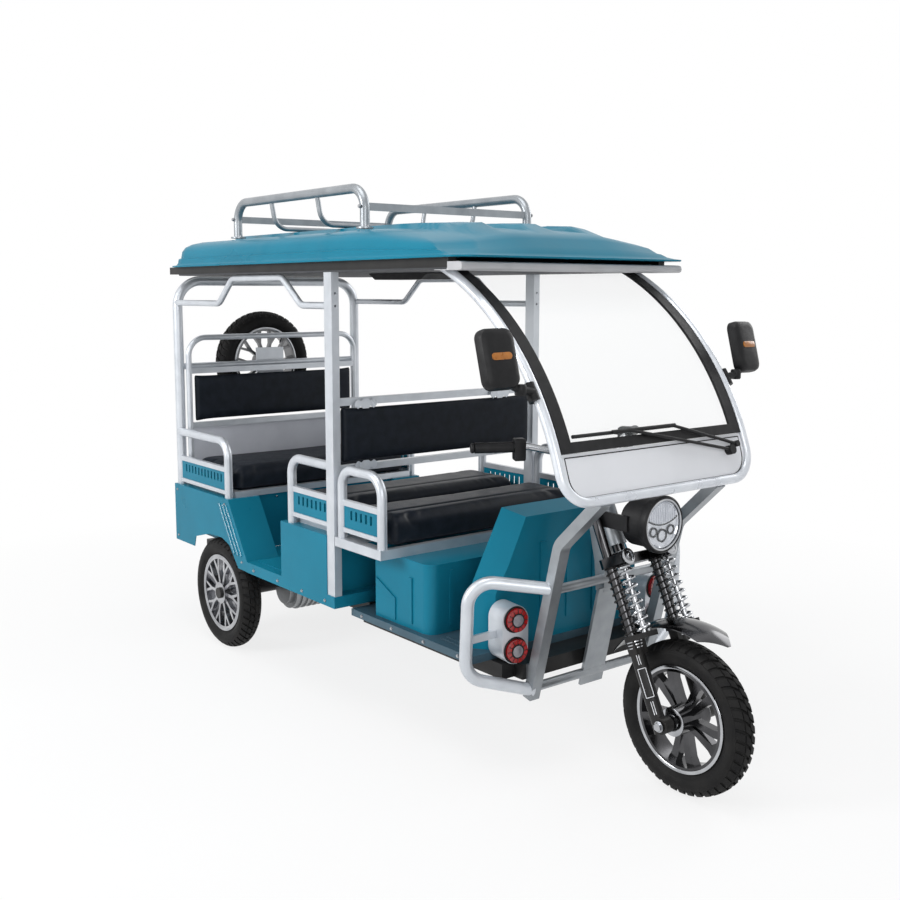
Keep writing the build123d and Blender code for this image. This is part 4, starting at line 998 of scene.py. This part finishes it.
# Stage: pale floor, backdrop by the world, soft lights and the photograph's camera. Lengths in metres.
SKY_COLOUR = (0.93, 0.96, 1.0, 1)
SKY_STRENGTH = 0.32
FLOOR_REACH = 14
FADE_FROM = 1.6
FADE_TO = 3.6
GLOW_NEAR = 0.8
GLOW_FAR = 1.0
LIGHTS = [
    {"name": "key", "at": (-1.2, -5.4, 3.0), "aim": (0, 0, 0.8), "size": 2.4, "watts": 180},
    {"name": "fill", "at": (5.2, -2.6, 2.4), "aim": (0.5, 0, 0.8), "size": 2.4, "watts": 60},
    {"name": "top", "at": (0.6, -1.2, 5.4), "aim": (0.2, 0, 0.6), "size": 3.6, "watts": 100},
    {"name": "far", "at": (0.5, 5.0, 3.2), "aim": (0, 0, 0.8), "size": 3.0, "watts": 70},
]
# Camera as solved from the photograph: its place from the rear axle, its angles and its lens in pixels.
CAMERA_AT = (4.1408, -2.5306, 1.5055)
CAMERA_YAW = 2.4816
CAMERA_PITCH = -0.1322
PHOTO_SIDE_PX = 900
FOCAL_PX = 1098.48
CENTRE_PX = (436.14, 436.56)
SENSOR_MM = 36


def seen_directly(tree):
    """Output that is 1 for rays from the camera, from mirrors and through glass, and 0 for plain light."""
    path = tree.nodes.new("ShaderNodeLightPath")
    last = path.outputs["Is Camera Ray"]
    for kind in ("Is Glossy Ray", "Is Transmission Ray"):
        most = tree.nodes.new("ShaderNodeMath")
        most.operation = "MAXIMUM"
        tree.links.new(last, most.inputs[0])
        tree.links.new(path.outputs[kind], most.inputs[1])
        last = most.outputs[0]
    return last


def mix_shaders(tree, factor, first, second, output):
    """Blend two shaders into the surface of an output node."""
    mix = tree.nodes.new("ShaderNodeMixShader")
    tree.links.new(factor, mix.inputs[0])
    tree.links.new(first, mix.inputs[1])
    tree.links.new(second, mix.inputs[2])
    tree.links.new(mix.outputs[0], output.inputs["Surface"])


def make_world():
    """White where it is seen directly, and a soft sky as a light."""
    world = bpy.data.worlds.new("studio")
    scene.world = world
    world.use_nodes = True
    tree = world.node_tree
    tree.nodes.clear()
    output = tree.nodes.new("ShaderNodeOutputWorld")
    white = tree.nodes.new("ShaderNodeBackground")
    white.inputs["Color"].default_value = (1, 1, 1, 1)
    sky = tree.nodes.new("ShaderNodeBackground")
    sky.inputs["Color"].default_value = SKY_COLOUR
    sky.inputs["Strength"].default_value = SKY_STRENGTH
    mix_shaders(tree, seen_directly(tree), sky.outputs[0], white.outputs[0], output)


def make_ground():
    """Floor finish that takes the shadow near the wheels and fades to the backdrop's white."""
    ground = surface("floor_white", (0.95, 0.95, 0.95), (0.94, 0.94, 0.94), rough=0.8, scale=2)
    tree = ground.node_tree
    spot = tree.nodes.new("ShaderNodeTexCoord")
    distance = tree.nodes.new("ShaderNodeVectorMath")
    distance.operation = "LENGTH"
    tree.links.new(spot.outputs["Object"], distance.inputs[0])
    fade = tree.nodes.new("ShaderNodeMapRange")
    fade.inputs["From Min"].default_value = FADE_FROM
    fade.inputs["From Max"].default_value = FADE_TO
    fade.inputs["To Min"].default_value = GLOW_NEAR
    fade.inputs["To Max"].default_value = GLOW_FAR
    tree.links.new(distance.outputs["Value"], fade.inputs["Value"])
    share = tree.nodes.new("ShaderNodeMath")
    share.operation = "MULTIPLY"
    tree.links.new(seen_directly(tree), share.inputs[0])
    tree.links.new(fade.outputs["Result"], share.inputs[1])
    glow = tree.nodes.new("ShaderNodeEmission")
    shader = tree.nodes["Principled BSDF"]
    mix_shaders(tree, share.outputs[0], shader.outputs[0], glow.outputs[0], tree.nodes["Material Output"])
    return ground


def area_light(row):
    """Large soft lamp aimed at a point."""
    data = bpy.data.lights.new(row["name"], "AREA")
    data.shape = "DISK"
    data.size = row["size"]
    data.energy = row["watts"]
    lamp = bpy.data.objects.new(row["name"], data)
    lamp.location = row["at"]
    lamp.rotation_euler = (Vector(row["aim"]) - Vector(row["at"])).to_track_quat("-Z", "Y").to_euler()
    scene.collection.objects.link(lamp)


make_world()
floor_corners = [(x * FLOOR_REACH, y * FLOOR_REACH, 0) for x, y in ((-1, -1), (1, -1), (1, 1), (-1, 1))]
floor_mesh = bpy.data.meshes.new("floor")
floor_mesh.from_pydata(floor_corners, [], [(0, 1, 2, 3)])
floor = bpy.data.objects.new("floor", floor_mesh)
scene.collection.objects.link(floor)
floor.data.materials.append(make_ground())
for row in LIGHTS:
    area_light(row)

camera_data = bpy.data.cameras.new("photo_camera")
camera_data.sensor_width = SENSOR_MM
camera_data.lens = FOCAL_PX / PHOTO_SIDE_PX * SENSOR_MM
camera_data.shift_x = (PHOTO_SIDE_PX / 2 - CENTRE_PX[0]) / PHOTO_SIDE_PX
camera_data.shift_y = -(PHOTO_SIDE_PX / 2 - CENTRE_PX[1]) / PHOTO_SIDE_PX
camera = bpy.data.objects.new("photo_camera", camera_data)
camera.location = (CAMERA_AT[0] + AXLE_X, CAMERA_AT[1], CAMERA_AT[2])
level = math.cos(CAMERA_PITCH)
aim = Vector((math.cos(CAMERA_YAW) * level, math.sin(CAMERA_YAW) * level, math.sin(CAMERA_PITCH)))
camera.rotation_euler = aim.to_track_quat("-Z", "Y").to_euler()
scene.collection.objects.link(camera)
scene.camera = camera
